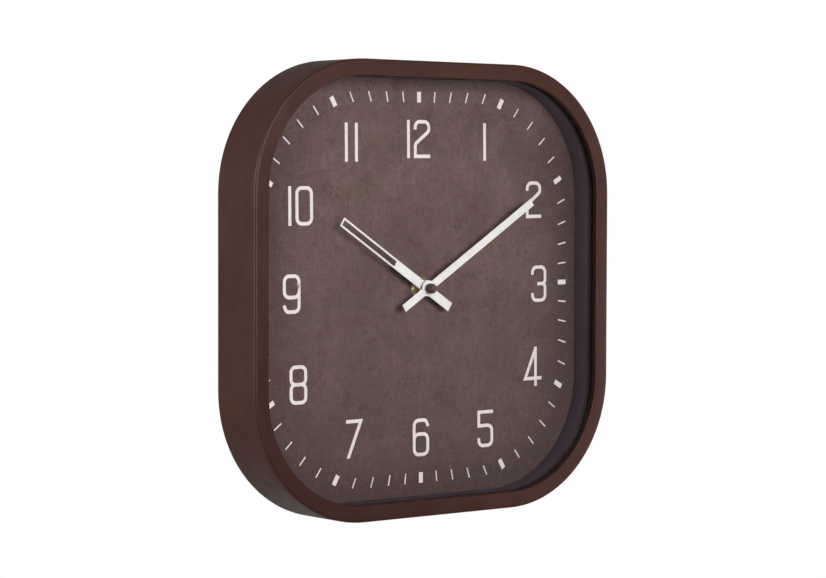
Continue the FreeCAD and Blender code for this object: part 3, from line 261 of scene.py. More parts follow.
def lacquer(name, dark, light):
    """Sprayed satin lacquer: faint clouds, orange peel, fine dust, rubbed patches and painted shade
    on the front face.
    """
    paint = Paint(name)
    clouds = paint.noise(38, 4, 0.55)
    speckle = paint.noise(0.35, 2)
    colour = paint.mix(paint.levels(clouds, 0.3, 0.7), dark, light)
    colour = paint.mix(paint.levels(speckle, 0.66, 0.8, 0, 0.25), colour, srgb(120, 96, 90))
    # painted shade: the front face is darkened most at its lower left and least at its upper right,
    # for how the light falls on it
    front = paint.levels(paint.axes()["Y"], (1.4 - CASE_DEPTH) * MM, (0.2 - CASE_DEPTH) * MM)
    lower_left_shade = paint.levels(paint.distance(SHADE_CORNER), 0.06, 0.42, 0.86, 0.14)
    colour = paint.mix(paint.maths("MULTIPLY", front, lower_left_shade), colour, LACQUER_PAINTED_SHADE)
    rubbed = paint.levels(paint.noise(16, 5, 0.65), 0.4, 0.72, 0.36, 0.46)
    peel = paint.bump(paint.noise(1.6, 2, 0.4), 0.012)
    grain = paint.bump(paint.noise(0.22, 2), 0.004, peel)
    return paint.surface(colour, rubbed, grain, Specular_IOR_Level=0.2)


def moulded(name, dark, light, roughness=0.5, grain=0.45, depth=0.02):
    """Moulded plastic: spark-eroded grain, flow shading and light handling marks."""
    paint = Paint(name)
    flow = paint.noise(30, 3, 0.5, paint.stretched(1, 1, 0.35), 0.6)
    colour = paint.mix(paint.levels(flow, 0.3, 0.72), dark, light)
    marks = paint.levels(paint.noise(24, 5, 0.6), 0.35, 0.75, roughness - 0.04, roughness + 0.06)
    texture = paint.bump(paint.cells(grain), depth)
    fine = paint.bump(paint.noise(grain * 0.4, 2), depth * 0.4, texture)
    return paint.surface(colour, marks, fine)


def ring_plastic(name):
    """The ring round the dial: fine grain, darker at the foot, and painted shade that darkens its
    front edge nearly to black, for the groove under the lip.
    """
    paint = Paint(name)
    flow = paint.noise(30, 3, 0.5, distortion=0.6)
    colour = paint.mix(paint.levels(flow, 0.3, 0.72), srgb(78, 60, 68), srgb(88, 68, 76))
    low = paint.levels(paint.axes()["Z"], 0.02, -0.15, 0, 0.5)
    colour = paint.mix(low, colour, srgb(56, 42, 52))
    # painted shade: the front edge is darkened nearly to black, for the shadow in the groove under
    # the lip
    front = heights("spacer_ring")[1]
    edge = paint.levels(paint.axes()["Y"], (2.4 - front) * MM, (0.6 - front) * MM)
    colour = paint.mix(edge, colour, srgb(22, 15, 17))
    marks = paint.levels(paint.noise(24, 5, 0.6), 0.35, 0.75, 0.5, 0.62)
    texture = paint.bump(paint.cells(0.3), 0.01)
    return paint.surface(colour, marks, texture, Specular_IOR_Level=0.3)


def rubber(name):
    """Black gasket rubber with a brownish bloom."""
    paint = Paint(name)
    bloom = paint.levels(paint.noise(6, 5, 0.6), 0.42, 0.8, 0, 0.5)
    colour = paint.mix(bloom, srgb(36, 25, 24), srgb(60, 46, 44))
    texture = paint.bump(paint.noise(0.5, 3), 0.03)
    rough = paint.levels(paint.noise(3, 3), 0.3, 0.7, 0.72, 0.9)
    return paint.surface(colour, rough, texture)


def metal(name, dark, light, roughness=0.3, stretch=(1, 1, 1), tarnish=None):
    """Plated or turned metal: brushed or matt grain, uneven gloss and a little tarnish."""
    paint = Paint(name)
    colour = paint.mix(paint.levels(paint.noise(4, 5, 0.6), 0.3, 0.7), dark, light)
    if tarnish:
        spots = paint.levels(paint.noise(2.2, 6, 0.7), 0.56, 0.74, 0, 0.6)
        colour = paint.mix(spots, colour, tarnish)
    grain = paint.noise(0.3, 3, 0.6, paint.stretched(*stretch))
    rough = paint.levels(grain, 0.3, 0.7, roughness - 0.07, roughness + 0.1)
    return paint.surface(colour, rough, paint.bump(grain, 0.006), Metallic=1.0)


def turned_metal(name, dark, light, roughness=0.22, metallic=1.0, spun=0.0):
    """Metal with the fine rings that a lathe leaves round the hand axis; spun spreads its gloss."""
    paint = Paint(name)
    rings = paint.waves(0.22, "RINGS", "Y", 0.4)
    stains = paint.levels(paint.noise(1.6, 5, 0.65), 0.45, 0.75, 0, 0.6)
    colour = paint.mix(stains, light, dark)
    rough = paint.levels(paint.noise(0.8, 4), 0.3, 0.7, roughness - 0.06, roughness + 0.12)
    around = paint.add("Tangent", {"direction_type": "RADIAL", "axis": "Y"}).outputs["Tangent"]
    return paint.surface(colour, rough, paint.bump(rings, 0.004), Metallic=metallic,
                         Tangent=around, Anisotropic=spun, Anisotropic_Rotation=0.25)


def clear_glass(name):
    """A thin pane: clear, with a weak reflection that grows towards the edge of sight."""
    paint = Paint(name)
    ripple = paint.bump(paint.noise(70, 2, 0.4), 0.02)
    smear = paint.levels(paint.noise(26, 5, 0.6), 0.45, 0.75, 0.01, 0.05)
    clear = paint.add("BsdfTransparent", Color=(0.965, 0.972, 0.975, 1))
    gloss = paint.add("BsdfGlossy", Color=(0.9, 0.94, 1.0, 1), Roughness=smear, Normal=ripple)
    facing = paint.add("LayerWeight", Blend=0.5).outputs["Facing"]
    share = paint.levels(facing, 0.1, 1.0, 0.006, 0.7)
    return paint.finish(paint.blend(share, clear, gloss))


def woven(paint, pitch):
    """The height of a plain linen weave in the dial's plane, with uneven threads."""
    across = paint.noise(pitch, 3, 0.6, paint.stretched(1, 1, 0.16))
    along = paint.noise(pitch, 3, 0.6, paint.stretched(0.22, 1, 1))
    fine = paint.noise(pitch * 1.2, 4, 0.7)
    threads = paint.maths("ADD", paint.maths("ADD", across, along), fine)
    return paint.maths("DIVIDE", threads, 3)


def printed_dial(name):
    """Brown printed linen: clouds, worn stains, specks and scuffs, with painted shade at the border
    and the foot.
    """
    paint = Paint(name)
    axes = paint.axes()
    clouds = paint.noise(48, 5, 0.65, distortion=0.6)
    mottle = paint.noise(9, 6, 0.7)
    colour = paint.mix(paint.levels(clouds, 0.38, 0.62), DIAL_DARK, DIAL_LIGHT)
    colour = paint.mix(paint.levels(mottle, 0.36, 0.66, 0, 0.6), colour, DIAL_WARM)
    stains = paint.levels(paint.noise(34, 5, 0.65, distortion=0.8), 0.5, 0.68, 0, 0.35)
    colour = paint.mix(stains, colour, DIAL_STAIN)
    # painted shade: the print is darkened towards the border, where the rim shades the dial, least
    # at the top, and darkened towards the foot
    reach = [paint.maths("ABSOLUTE", axes[axis]) for axis in ("X", "Z")]
    powers = [paint.maths("POWER", paint.maths("DIVIDE", r, DIAL_HALF * MM), 4.0) for r in reach]
    border = paint.maths("ADD", *powers)
    below_top = paint.levels(axes["Z"], 0.17, 0.1, 0.3, 0.95)
    edge = paint.maths("MULTIPLY", paint.levels(border, 0.02, 0.92), below_top)
    colour = paint.mix(edge, colour, DIAL_RIM_SHADE)
    colour = paint.mix(paint.levels(axes["Z"], 0.17, -DIAL_HALF * MM, 0, 0.5), colour, DIAL_LOW_SHADE)
    weave = woven(paint, 1.5)
    colour = dial_wear(paint, colour, border, weave)
    rough = paint.levels(mottle, 0.3, 0.7, 0.76, 0.9)
    return paint.surface(colour, rough, paint.bump(weave, 0.12), Specular_IOR_Level=0.25)


def dial_wear(paint, colour, border, weave):
    """Shade, blotches, threads, specks and scuffs, most of all near the dial's border."""
    shade = paint.levels(paint.noise(6, 4, 0.6), 0.46, 0.7, 0, 0.28)
    colour = paint.mix(shade, colour, DIAL_DEEP)
    blotches = paint.levels(paint.noise(20, 7, 0.8, distortion=0.6), 0.5, 0.68, 0, 0.62)
    colour = paint.mix(blotches, colour, DIAL_SCUFF)
    colour = paint.mix(paint.levels(weave, 0.4, 0.53, 0.22, 0), colour, DIAL_DEEP)
    colour = paint.mix(paint.levels(weave, 0.5, 0.62, 0, 0.22), colour, DIAL_PALE)
    patches = paint.levels(paint.noise(60, 4, 0.6, distortion=0.3), 0.4, 0.6, 0.3, 1)
    dirt = paint.maths("MAXIMUM", patches, paint.levels(border, 0.1, 0.8))
    specks = paint.levels(paint.noise(2.6, 3, 0.55), 0.61, 0.71, 0, 0.7)
    colour = paint.mix(paint.maths("MULTIPLY", specks, dirt), colour, DIAL_SPECK)
    scuffs = paint.levels(paint.noise(8, 5, 0.75, distortion=1.2), 0.56, 0.7, 0, 0.7)
    return paint.mix(paint.maths("MULTIPLY", scuffs, dirt), colour, DIAL_SCUFF)


def white_print(name, colour):
    """Screen-printed white ink: opaque, with faint pinholes and a slightly open weave."""
    paint = Paint(name)
    weave = woven(paint, 1.5)
    tone = paint.mix(paint.levels(weave, 0.42, 0.52, 0.25, 0), colour, srgb(196, 182, 179))
    holes = paint.levels(paint.noise(0.8, 4, 0.7), 0.66, 0.76, 0, 0.5)
    tone = paint.mix(holes, tone, srgb(150, 132, 128))
    return paint.surface(tone, 0.62, paint.bump(weave, 0.02))


def hand_lacquer(name):
    """Warm white lacquer on stamped aluminium."""
    paint = Paint(name)
    clouds = paint.levels(paint.noise(11, 4, 0.6), 0.3, 0.7)
    colour = paint.mix(clouds, HAND_SHADE, HAND_WHITE)
    dust = paint.levels(paint.noise(0.45, 3, 0.6), 0.66, 0.78, 0, 0.4)
    colour = paint.mix(dust, colour, srgb(190, 182, 172))
    rough = paint.levels(paint.noise(3, 4, 0.6), 0.3, 0.7, 0.36, 0.52)
    return paint.surface(colour, rough, paint.bump(paint.noise(0.8, 3, 0.5), 0.008))


def cap_plastic(name):
    """Brown satin plastic with the swirl of its turned mould."""
    paint = Paint(name)
    swirl = paint.waves(1.1, "RINGS", "Y", 3.0)
    colour = paint.mix(paint.levels(swirl, 0.2, 0.8), srgb(64, 36, 32), srgb(112, 84, 76))
    rough = paint.levels(paint.noise(1.2, 4), 0.3, 0.7, 0.36, 0.5)
    return paint.surface(colour, rough, paint.bump(swirl, 0.01), Specular_IOR_Level=0.3)


def acetal(name):
    """Natural gear plastic, slightly translucent."""
    paint = Paint(name)
    flow = paint.noise(2.5, 4, 0.55)
    colour = paint.mix(paint.levels(flow, 0.3, 0.7), srgb(214, 209, 196), srgb(232, 228, 217))
    rough = paint.levels(paint.noise(0.7, 3), 0.3, 0.7, 0.33, 0.46)
    return paint.surface(colour, rough, paint.bump(flow, 0.01), Subsurface_Weight=0.25,
                         Subsurface_Scale=0.0008)


def copper_wire(name):
    """Turns of enamelled wire laid side by side along the coil."""
    paint = Paint(name)
    turns = paint.waves(0.24, "BANDS", "X", 0.25)
    colour = paint.mix(paint.levels(turns, 0.1, 0.7), srgb(92, 38, 16), srgb(212, 118, 62))
    gloss = paint.levels(paint.noise(1.1, 3), 0.3, 0.7, 0.2, 0.36)
    return paint.surface(colour, gloss, paint.bump(turns, 0.08), Metallic=0.9,
                         Coat_Weight=0.5, Coat_Roughness=0.12)


def board_laminate(name):
    """Green solder mask with the faint relief of the tracks below it."""
    paint = Paint(name)
    tracks = paint.add("TexBrick", Vector=paint.place, Scale=1 / (5 * MM), Mortar_Size=0.06,
                       Mortar_Smooth=0.2).outputs["Fac"]
    colour = paint.mix(tracks, srgb(24, 92, 52), srgb(44, 126, 74))
    fibre = paint.levels(paint.noise(0.5, 3), 0.4, 0.7, 0, 0.35)
    colour = paint.mix(fibre, colour, srgb(16, 66, 38))
    gloss = paint.levels(paint.noise(2, 3), 0.3, 0.7, 0.26, 0.4)
    return paint.surface(colour, gloss, paint.bump(tracks, 0.03))


def stator_iron(name):
    """Stamped magnetic iron, annealed and slightly blued."""
    paint = Paint(name)
    bluing = paint.levels(paint.noise(5, 4, 0.6), 0.35, 0.7)
    colour = paint.mix(bluing, srgb(150, 150, 152), srgb(188, 184, 176))
    grain = paint.noise(0.35, 3, 0.6, paint.stretched(0.1, 1, 1))
    rough = paint.levels(grain, 0.3, 0.7, 0.28, 0.46)
    return paint.surface(colour, rough, paint.bump(grain, 0.008), Metallic=1.0)


def jacket(name):
    """The printed sleeve of a cell: dark green with a pale band at the positive end."""
    paint = Paint(name)
    band = paint.levels(paint.axes()["X"], BAND_START * MM, (BAND_START + 0.2) * MM)
    haze = paint.levels(paint.noise(7, 4, 0.6), 0.3, 0.7)
    body = paint.mix(haze, srgb(26, 66, 58), srgb(34, 80, 70))
    pale = paint.mix(haze, srgb(186, 190, 186), srgb(204, 207, 203))
    colour = paint.mix(band, body, pale)
    scuffs = paint.levels(paint.noise(1.4, 5, 0.7, paint.stretched(0.2, 1, 1)), 0.66, 0.78, 0, 0.5)
    colour = paint.mix(scuffs, colour, srgb(150, 150, 152))
    gloss = paint.levels(paint.noise(4, 4), 0.3, 0.7, 0.22, 0.38)
    return paint.surface(colour, gloss, paint.bump(paint.noise(3, 2), 0.02), Metallic=0.35,
                         Coat_Weight=0.4, Coat_Roughness=0.15)


DIAL_DARK = srgb(96, 76, 74)
DIAL_LIGHT = srgb(116, 94, 91)
DIAL_WARM = srgb(108, 84, 76)
DIAL_PALE = srgb(128, 106, 102)
DIAL_DEEP = srgb(76, 59, 58)
DIAL_STAIN = srgb(98, 82, 66)
DIAL_SCUFF = srgb(84, 55, 49)
DIAL_SPECK = srgb(52, 39, 37)
# painted shade: the dial's colour at its border, where the rim shades it, and towards its foot
DIAL_RIM_SHADE = srgb(55, 37, 39)
DIAL_LOW_SHADE = srgb(80, 60, 57)
# painted shade: the darkest colour of the case's front face, and the lower left corner it is
# strongest towards
LACQUER_PAINTED_SHADE = srgb(46, 18, 9)
SHADE_CORNER = (-0.2, -0.055, -0.2)
HAND_WHITE = srgb(241, 237, 234)
HAND_SHADE = srgb(233, 228, 225)

# each finish: the function that makes it, and what the function is given after the name
FINISHES = {
    "case_lacquer": (lacquer, srgb(60, 34, 27), srgb(66, 39, 31)),
    "clear_glass": (clear_glass,),
    "black_rubber": (rubber,),
    "ring_plastic": (ring_plastic,),
    "dial_paper": (printed_dial,),
    "dial_ink": (white_print, srgb(236, 225, 224)),
    "fibre_board": (moulded, srgb(118, 112, 106), srgb(136, 130, 122), 0.8, 0.7),
    "cover_plastic": (moulded, srgb(34, 33, 33), srgb(42, 40, 40), 0.6, 0.8, 0.05),
    "screw_steel": (metal, srgb(150, 152, 156), srgb(196, 196, 192), 0.3, (1, 1, 1),
                    srgb(150, 140, 118)),
    "hanger_steel": (metal, srgb(146, 148, 150), srgb(184, 184, 182), 0.44, (0.08, 1, 1),
                     srgb(158, 150, 128)),
    "rivet_aluminium": (metal, srgb(196, 197, 199), srgb(222, 222, 222), 0.36),
    "movement_plastic": (moulded, srgb(34, 34, 36), srgb(46, 46, 48), 0.46, 0.5, 0.03),
    "bush_brass": (turned_metal, srgb(200, 168, 92), srgb(240, 218, 150), 0.36),
    "washer_brass": (turned_metal, srgb(232, 212, 140), srgb(254, 246, 196), 0.52, 1.0, 0.85),
    "hand_white": (hand_lacquer,),
    "collet_brass": (turned_metal, srgb(226, 210, 170), srgb(250, 242, 216), 0.4, 0.3),
    "arbor_brass": (turned_metal, srgb(168, 128, 60), srgb(222, 186, 110), 0.26),
    "gear_plastic": (acetal,),
    "cap_brown": (cap_plastic,),
    "knob_plastic": (moulded, srgb(58, 58, 60), srgb(74, 74, 76), 0.42, 0.3, 0.015),
    "magnet": (metal, srgb(72, 72, 76), srgb(98, 98, 100), 0.5),
    "plate_plastic": (moulded, srgb(176, 170, 158), srgb(192, 187, 176), 0.48, 0.3, 0.01),
    "stator_iron": (stator_iron,),
    "bobbin_plastic": (moulded, srgb(128, 40, 30), srgb(150, 52, 40), 0.4, 0.2, 0.01),
    "copper_wire": (copper_wire,),
    "board_laminate": (board_laminate,),
    "chip_resin": (moulded, srgb(26, 26, 27), srgb(38, 38, 39), 0.55, 0.15, 0.01),
    "crystal_can": (metal, srgb(190, 191, 194), srgb(220, 220, 220), 0.2),
    "contact_steel": (metal, srgb(176, 172, 160), srgb(214, 210, 198), 0.25, (1, 0.1, 1)),
    "battery_jacket": (jacket,),
    "cell_steel": (metal, srgb(186, 186, 188), srgb(216, 215, 212), 0.22),
}
MATERIALS = {name: build(name, *rest) for name, (build, *rest) in FINISHES.items()}


def dress(thing, material):
    thing.data.materials.clear()
    thing.data.materials.append(MATERIALS[material])


# -------- mesh building

def new_object(name, data):
    """An object in the scene's own collection."""
    thing = bpy.data.objects.new(name, data)
    bpy.context.scene.collection.objects.link(thing)
    return thing


def moved(mesh, x, z):
    """The mesh shifted in the dial's plane."""
    mesh.transform(Matrix.Translation(Vector((x, 0, z)) * MM))
    return mesh


def add_piece(name, mesh, body, slot, material=None, replaced=()):
    """A finished mesh becomes a piece that rides on a body and takes a slot's finish."""
    piece = new_object(name, mesh)
    dress(piece, material or slot)
    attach(piece, body)
    if replaced:
        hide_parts(*replaced)
    return piece


def smooth(mesh, degrees=35):
    """Smooth shading with sharp edges where faces meet at more than an angle."""
    mesh.shade_smooth()
    mesh.set_sharp_from_angle(angle=math.radians(degrees))
    return mesh


def mesh_from(name, shape):
    """Turns a bmesh into a mesh with outward normals."""
    bmesh.ops.recalc_face_normals(shape, faces=shape.faces)
    mesh = bpy.data.meshes.new(name)
    shape.to_mesh(mesh)
    shape.free()
    return smooth(mesh)


def rounded_square(half, corner, turns=28, spans=10):
    """Points of a rounded square, anticlockwise, with the same count for every size."""
    straight = half - corner
    points = []
    for quarter in range(4):
        spin = math.pi / 2 * quarter
        for step in range(turns + 1):
            angle = math.pi / 2 * step / turns
            x = straight + corner * math.cos(angle)
            z = straight + corner * math.sin(angle)
            points.append(turned(x, z, spin))
        for step in range(1, spans):
            x = straight - 2 * straight * step / spans
            points.append(turned(x, half, spin))
    return points


def turned(x, z, angle):
    return (x * math.cos(angle) - z * math.sin(angle), x * math.sin(angle) + z * math.cos(angle))


def arc(centre, radius, start, end, steps):
    """Points on an arc, from one angle to another, in degrees."""
    angles = [math.radians(start + (end - start) * step / steps) for step in range(steps + 1)]
    return [(centre[0] + radius * math.cos(a), centre[1] + radius * math.sin(a)) for a in angles]


def bridge_rings(shape, rings, closed):
    """Quads between rings of vertices with the same count."""
    pairs = zip(rings, rings[1:] + rings[:1]) if closed else zip(rings, rings[1:])
    for first, second in pairs:
        count = len(first)
        for index in range(count):
            after = (index + 1) % count
            shape.faces.new((first[index], first[after], second[after], second[index]))


def framed(shape, half, corner, profile):
    """A ring-shaped solid: a closed profile of (inset, height) carried round a rounded square."""
    rings = []
    for inset, height in profile:
        outline = rounded_square(half - inset, corner - inset)
        rings.append([shape.verts.new((x * MM, -height * MM, z * MM)) for x, z in outline])
    bridge_rings(shape, rings, True)


def lathed(name, profile, steps=96):
    """A solid of (radius, height) points turned round the hand axis; a zero radius is a pole."""
    shape = bmesh.new()
    rings = []
    for radius, height in profile:
        if radius == 0:
            rings.append([shape.verts.new((0, -height * MM, 0))])
            continue
        circle = [turned(radius, 0, math.tau * step / steps) for step in range(steps)]
        rings.append([shape.verts.new((x * MM, -height * MM, z * MM)) for x, z in circle])
    closed = profile[0][0] > 0 and profile[-1][0] > 0
    pairs = zip(rings, rings[1:] + rings[:1]) if closed else zip(rings, rings[1:])
    for first, second in pairs:
        for index in range(steps):
            after = (index + 1) % steps
            a, b = first[index % len(first)], first[after % len(first)]
            c, d = second[after % len(second)], second[index % len(second)]
            corners = [v for k, v in enumerate((a, b, c, d)) if v not in (a, b, c, d)[:k]]
            shape.faces.new(corners)
    return mesh_from(name, shape)


def union(name, meshes):
    """One mesh from several solids, with their shared insides removed."""
    base = new_object(name, meshes[0])
    helpers = [new_object(name + "_helper", mesh) for mesh in meshes[1:]]
    for helper in helpers:
        modifier = base.modifiers.new("join", "BOOLEAN")
        modifier.operation = "UNION"
        modifier.solver = "EXACT"
        modifier.object = helper
    evaluated = base.evaluated_get(bpy.context.evaluated_depsgraph_get())
    joined = bpy.data.meshes.new_from_object(evaluated)
    joined.name = name
    for thing in [base] + helpers:
        bpy.data.objects.remove(thing)
    return smooth(joined)


# -------- case

def rim_profile():
    """The rim's section: (distance inside the outer wall, height)."""
    edge, lip_edge, rear = 2.0, 0.8, 0.3
    front, back = CASE_DEPTH, LIP_BACK
    outer = arc((edge, front - edge), edge, 180, 90, 8)
    inner = arc((BEZEL_WIDTH - lip_edge, front - lip_edge), lip_edge, 90, 0, 5)
    face = [(BEZEL_WIDTH * share, front) for share in (0.35, 0.65)]
    wall = [(0, front * share) for share in (0.03, 0.2, 0.4, 0.6, 0.8)]
    inside = [(CASE_WALL, back * share) for share in (1, 0.8, 0.6, 0.4, 0.2, 0.03)]
    foot = [(CASE_WALL, rear), (CASE_WALL - rear, 0), (rear, 0), (0, rear)]
    return wall + outer + face + inner + [(BEZEL_WIDTH, back)] + inside + foot


def boss_places():
    reach = CASE_HALF - BOSS_INSET
    corner = CASE_HALF - CASE_CORNER + (CASE_CORNER - BOSS_INSET) * math.sqrt(0.5)
    side = ((reach, BOSS_SPREAD), (reach, -BOSS_SPREAD), (corner, corner))
    return [turned(x, z, math.pi / 2 * quarter) for quarter in range(4) for x, z in side]


def boss(x, z):
    """One screw boss with its blind core."""
    foot = heights("back_cover")[0] + COVER_THICK
    top = LIP_BACK + BOSS_SINK
    profile = [(0, top), (BOSS_RADIUS, top), (BOSS_RADIUS, foot), (CORE_RADIUS, foot),
               (CORE_RADIUS, foot + CORE_DEPTH), (0, foot + CORE_DEPTH)]
    return moved(lathed("boss", profile, 32), x, z)


def make_case():
    shape = bmesh.new()
    framed(shape, CASE_HALF, CASE_CORNER, rim_profile())
    rim = mesh_from("case_shell", shape)
    mesh = union("case_shell", [rim] + [boss(x, z) for x, z in boss_places()])
    add_piece("case_shell", mesh, "root", "case_lacquer", replaced=["case_rim"])


# -------- dial print

def track_point(half, corner, hours):
    """Where a ray at a clock angle crosses a rounded square, in millimetres."""
    angle = math.radians(30 * hours)
    x, z = math.sin(angle), math.cos(angle)
    across, along = sorted((abs(x), abs(z)))
    straight = half - corner
    reach = half / along
    if across * reach > straight:
        middle = straight * (across + along)
        reach = middle + math.sqrt(middle ** 2 - 2 * straight ** 2 + corner ** 2)
    return x * reach, z * reach


def block(shape, centre, half_across, half_along, angle, low, high):
    """A flat bar whose length points at a clock angle."""
    corners = []
    for height in (low, high):
        for across, along in ((-1, -1), (1, -1), (1, 1), (-1, 1)):
            x, z = turned(across * half_across, along * half_along, -angle)
            place = Vector((centre[0] + x, -height, centre[1] + z))
            corners.append(shape.verts.new(place * MM))
    for face in ((3, 2, 1, 0), (4, 5, 6, 7), (0, 1, 5, 4), (1, 2, 6, 5), (2, 3, 7, 6), (3, 0, 4, 7)):
        shape.faces.new([corners[index] for index in face])


TRACK_HALF = 169.5
TRACK_CORNER = 106.8
MARK_LONG = 9.4
HOUR_MARK_WIDE = 4.4
MINUTE_MARK_WIDE = 1.2
PRINT_LOW = DIAL_FRONT - PRINT_SINK
PRINT_HIGH = DIAL_FRONT + PRINT_THICK


def make_marks(name, minutes, width):
    shape = bmesh.new()
    for minute in minutes:
        centre = track_point(TRACK_HALF, TRACK_CORNER, minute / 5)
        block(shape, centre, width / 2, MARK_LONG / 2, math.radians(6 * minute), PRINT_LOW,
              PRINT_HIGH)
    print_piece(name, mesh_from(name, shape))


def print_piece(name, mesh):
    """The print sits a little anticlockwise on the board."""
    mesh.transform(Matrix.Rotation(math.radians(-PRINT_TWIST), 4, "Y"))
    add_piece(name, mesh, "root", "dial_paper", "dial_ink")


GLYPH_W = 7.75
GLYPH_H = 15.35
STROKE = 3.12
BEND = 5.0
BAR_END = GLYPH_H + STROKE / 2


def bar(x):
    return {"points": [(x, -BAR_END, 0), (x, BAR_END, 0)]}


def bowl(low, high, bend=BEND, x=0):
    """A closed rounded box."""
    left, right = x - GLYPH_W, x + GLYPH_W
    return {"points": [(left, low, bend), (right, low, bend), (right, high, bend),
                       (left, high, bend)], "closed": True}


def shifted(stroke, x):
    return {**stroke, "points": [(px + x, pz, bend) for px, pz, bend in stroke["points"]]}


def upside_down(strokes):
    return [{**s, "points": [(-x, -z, bend) for x, z, bend in s["points"]]} for s in strokes]


TWO = {"points": [(-GLYPH_W, 8.4, 0), (-GLYPH_W, GLYPH_H, BEND), (GLYPH_W, GLYPH_H, BEND),
                  (GLYPH_W, 7, 4), (-GLYPH_W, -4.4, 4), (-GLYPH_W, -GLYPH_H, 0),
                  (GLYPH_W + 1.5, -GLYPH_H, 0)]}
THREE = [
    {"points": [(-GLYPH_W, 8.4, 0), (-GLYPH_W, GLYPH_H, BEND), (GLYPH_W, GLYPH_H, BEND),
                (GLYPH_W, 0, 3.6), (-1.8, 0, 0)]},
    {"points": [(-GLYPH_W, -8.4, 0), (-GLYPH_W, -GLYPH_H, BEND), (GLYPH_W, -GLYPH_H, BEND),
                (GLYPH_W, 0, 3.6), (-1.8, 0, 0)]},
]
FOUR = [
    {"points": [(11.0, -11, 0), (-8.9, -11, 0), (3.7, 16.4, 0)]},
    {"points": [(3.8, -18.1, 0), (3.8, 18.1, 0)]},
]
FIVE = {"points": [(GLYPH_W + 1.5, GLYPH_H, 0), (-GLYPH_W, GLYPH_H, 0), (-GLYPH_W, 2.9, 0),
                   (GLYPH_W, 2.9, BEND), (GLYPH_W, -GLYPH_H, BEND), (-GLYPH_W, -GLYPH_H, BEND),
                   (-GLYPH_W, -8.4, 0)]}
SIX = [
    {"points": [(8.3, 9.6, 0), (5.6, GLYPH_H, 4), (-GLYPH_W, GLYPH_H, BEND), (-GLYPH_W, -6, 0)]},
    bowl(-GLYPH_H, 2.9),
]
SEVEN = {"points": [(-9.3, GLYPH_H, 0), (6.8, GLYPH_H, 0), (-7.3, -BAR_END, 0)], "level_end": True}
EIGHT = [bowl(-GLYPH_H, 0.3, 4.6), bowl(0.3, GLYPH_H, 4.6)]

# each numeral: where its middle lies on the dial, and its strokes
NUMERALS = {
    1: ((76, 130), [bar(0)]),
    2: ((134.9, 77), [TWO]),
    3: ((141, -0.6), THREE),
    4: ((132.9, -77), FOUR),
    5: ((75.6, -130.8), [FIVE]),
    6: ((0.3, -133.5), SIX),
    7: ((-74, -129.6), [SEVEN]),
    8: ((-134.4, -79), EIGHT),
    9: ((-140.8, -0.7), upside_down(SIX)),
    10: ((-130.7, 74.7), [bar(-11.5), bowl(-GLYPH_H, GLYPH_H, BEND, 3.8)]),
    11: ((-75.7, 129.4), [bar(-5.5), bar(5.5)]),
    12: ((-0.7, 132.4), [bar(-11.5), shifted(TWO, 3.9)]),
}


def rounded_path(points, steps=7):
    """The path through (x, z, bend) points with each bend rounded to its radius."""
    path = []
    for index, (x, z, bend) in enumerate(points):
        here = Vector((x, z))
        if bend == 0:
            path.append(here)
            continue
        before = (Vector(points[index - 1][:2]) - here).normalized()
        after = (Vector(points[(index + 1) % len(points)][:2]) - here).normalized()
        half = before.angle(after) / 2
        run = bend / math.tan(half)
        centre = here + (before + after).normalized() * (bend / math.sin(half))
        start = here + before * run - centre
        end = here + after * run - centre
        sweep = start.angle_signed(end)
        for step in range(steps + 1):
            turn = Matrix.Rotation(-sweep * step / steps, 2)
            path.append(centre + turn @ start)
    return path


def stroke_mesh(name, points, closed=False, level_end=False):
    """A stroke of even width along a path, as a flat solid on the dial."""
    path = rounded_path(points)
    count = len(path)
    sides = []
    for index, here in enumerate(path):
        before = path[index - 1] if closed or index else None
        after = path[(index + 1) % count] if closed or index < count - 1 else None
        into = (here - before).normalized() if before is not None else None
        out = (after - here).normalized() if after is not None else None
        into, out = into or out, out or into
        normal = Vector((-out.y - into.y, out.x + into.x)).normalized()
        width = STROKE / 2 / normal.dot(Vector((-out.y, out.x)))
        if level_end and index == count - 1:
            level = Vector((1, 0))
            width = STROKE / 2 / level.dot(normal)
            normal = level
        sides.append((here + normal * width, here - normal * width))
    shape = bmesh.new()
    rings = []
    for left, right in sides:
        corners = ((left, PRINT_LOW), (left, PRINT_HIGH), (right, PRINT_HIGH), (right, PRINT_LOW))
        rings.append([shape.verts.new(Vector((p.x, -height, p.y)) * MM) for p, height in corners])
    bridge_rings(shape, rings, closed)
    if not closed:
        shape.faces.new(rings[0])
        shape.faces.new(rings[-1])
    return mesh_from(name, shape)


def make_numeral(hour, centre, strokes):
    name = f"numeral_{hour}"
    meshes = [stroke_mesh(name, **stroke) for stroke in strokes]
    mesh = union(name, meshes) if len(meshes) > 1 else meshes[0]
    print_piece(name, moved(mesh, *centre))


def make_dial_print():
    make_marks("hour_marks", range(0, 60, 5), HOUR_MARK_WIDE)
    make_marks("minute_marks", [m for m in range(60) if m % 5], MINUTE_MARK_WIDE)
    for hour, (centre, strokes) in NUMERALS.items():
        make_numeral(hour, centre, strokes)


# -------- front stack

def make_frame_part(name, slot, section):
    """A moulded frame round the dial that replaces its CAD node."""
    shape = bmesh.new()
    framed(shape, CASE_HALF, CASE_CORNER, section)
    add_piece(name + "_moulding", mesh_from(name, shape), "root", slot, replaced=[name])


def chamfered(inner, outer, low, high, cut):
    """A rectangular (inset, height) section with its corners cut; inner is the larger inset."""
    return [(outer + cut, low), (inner - cut, low), (inner, low + cut), (inner, high - cut),
            (inner - cut, high), (outer + cut, high), (outer, high - cut), (outer, low + cut)]


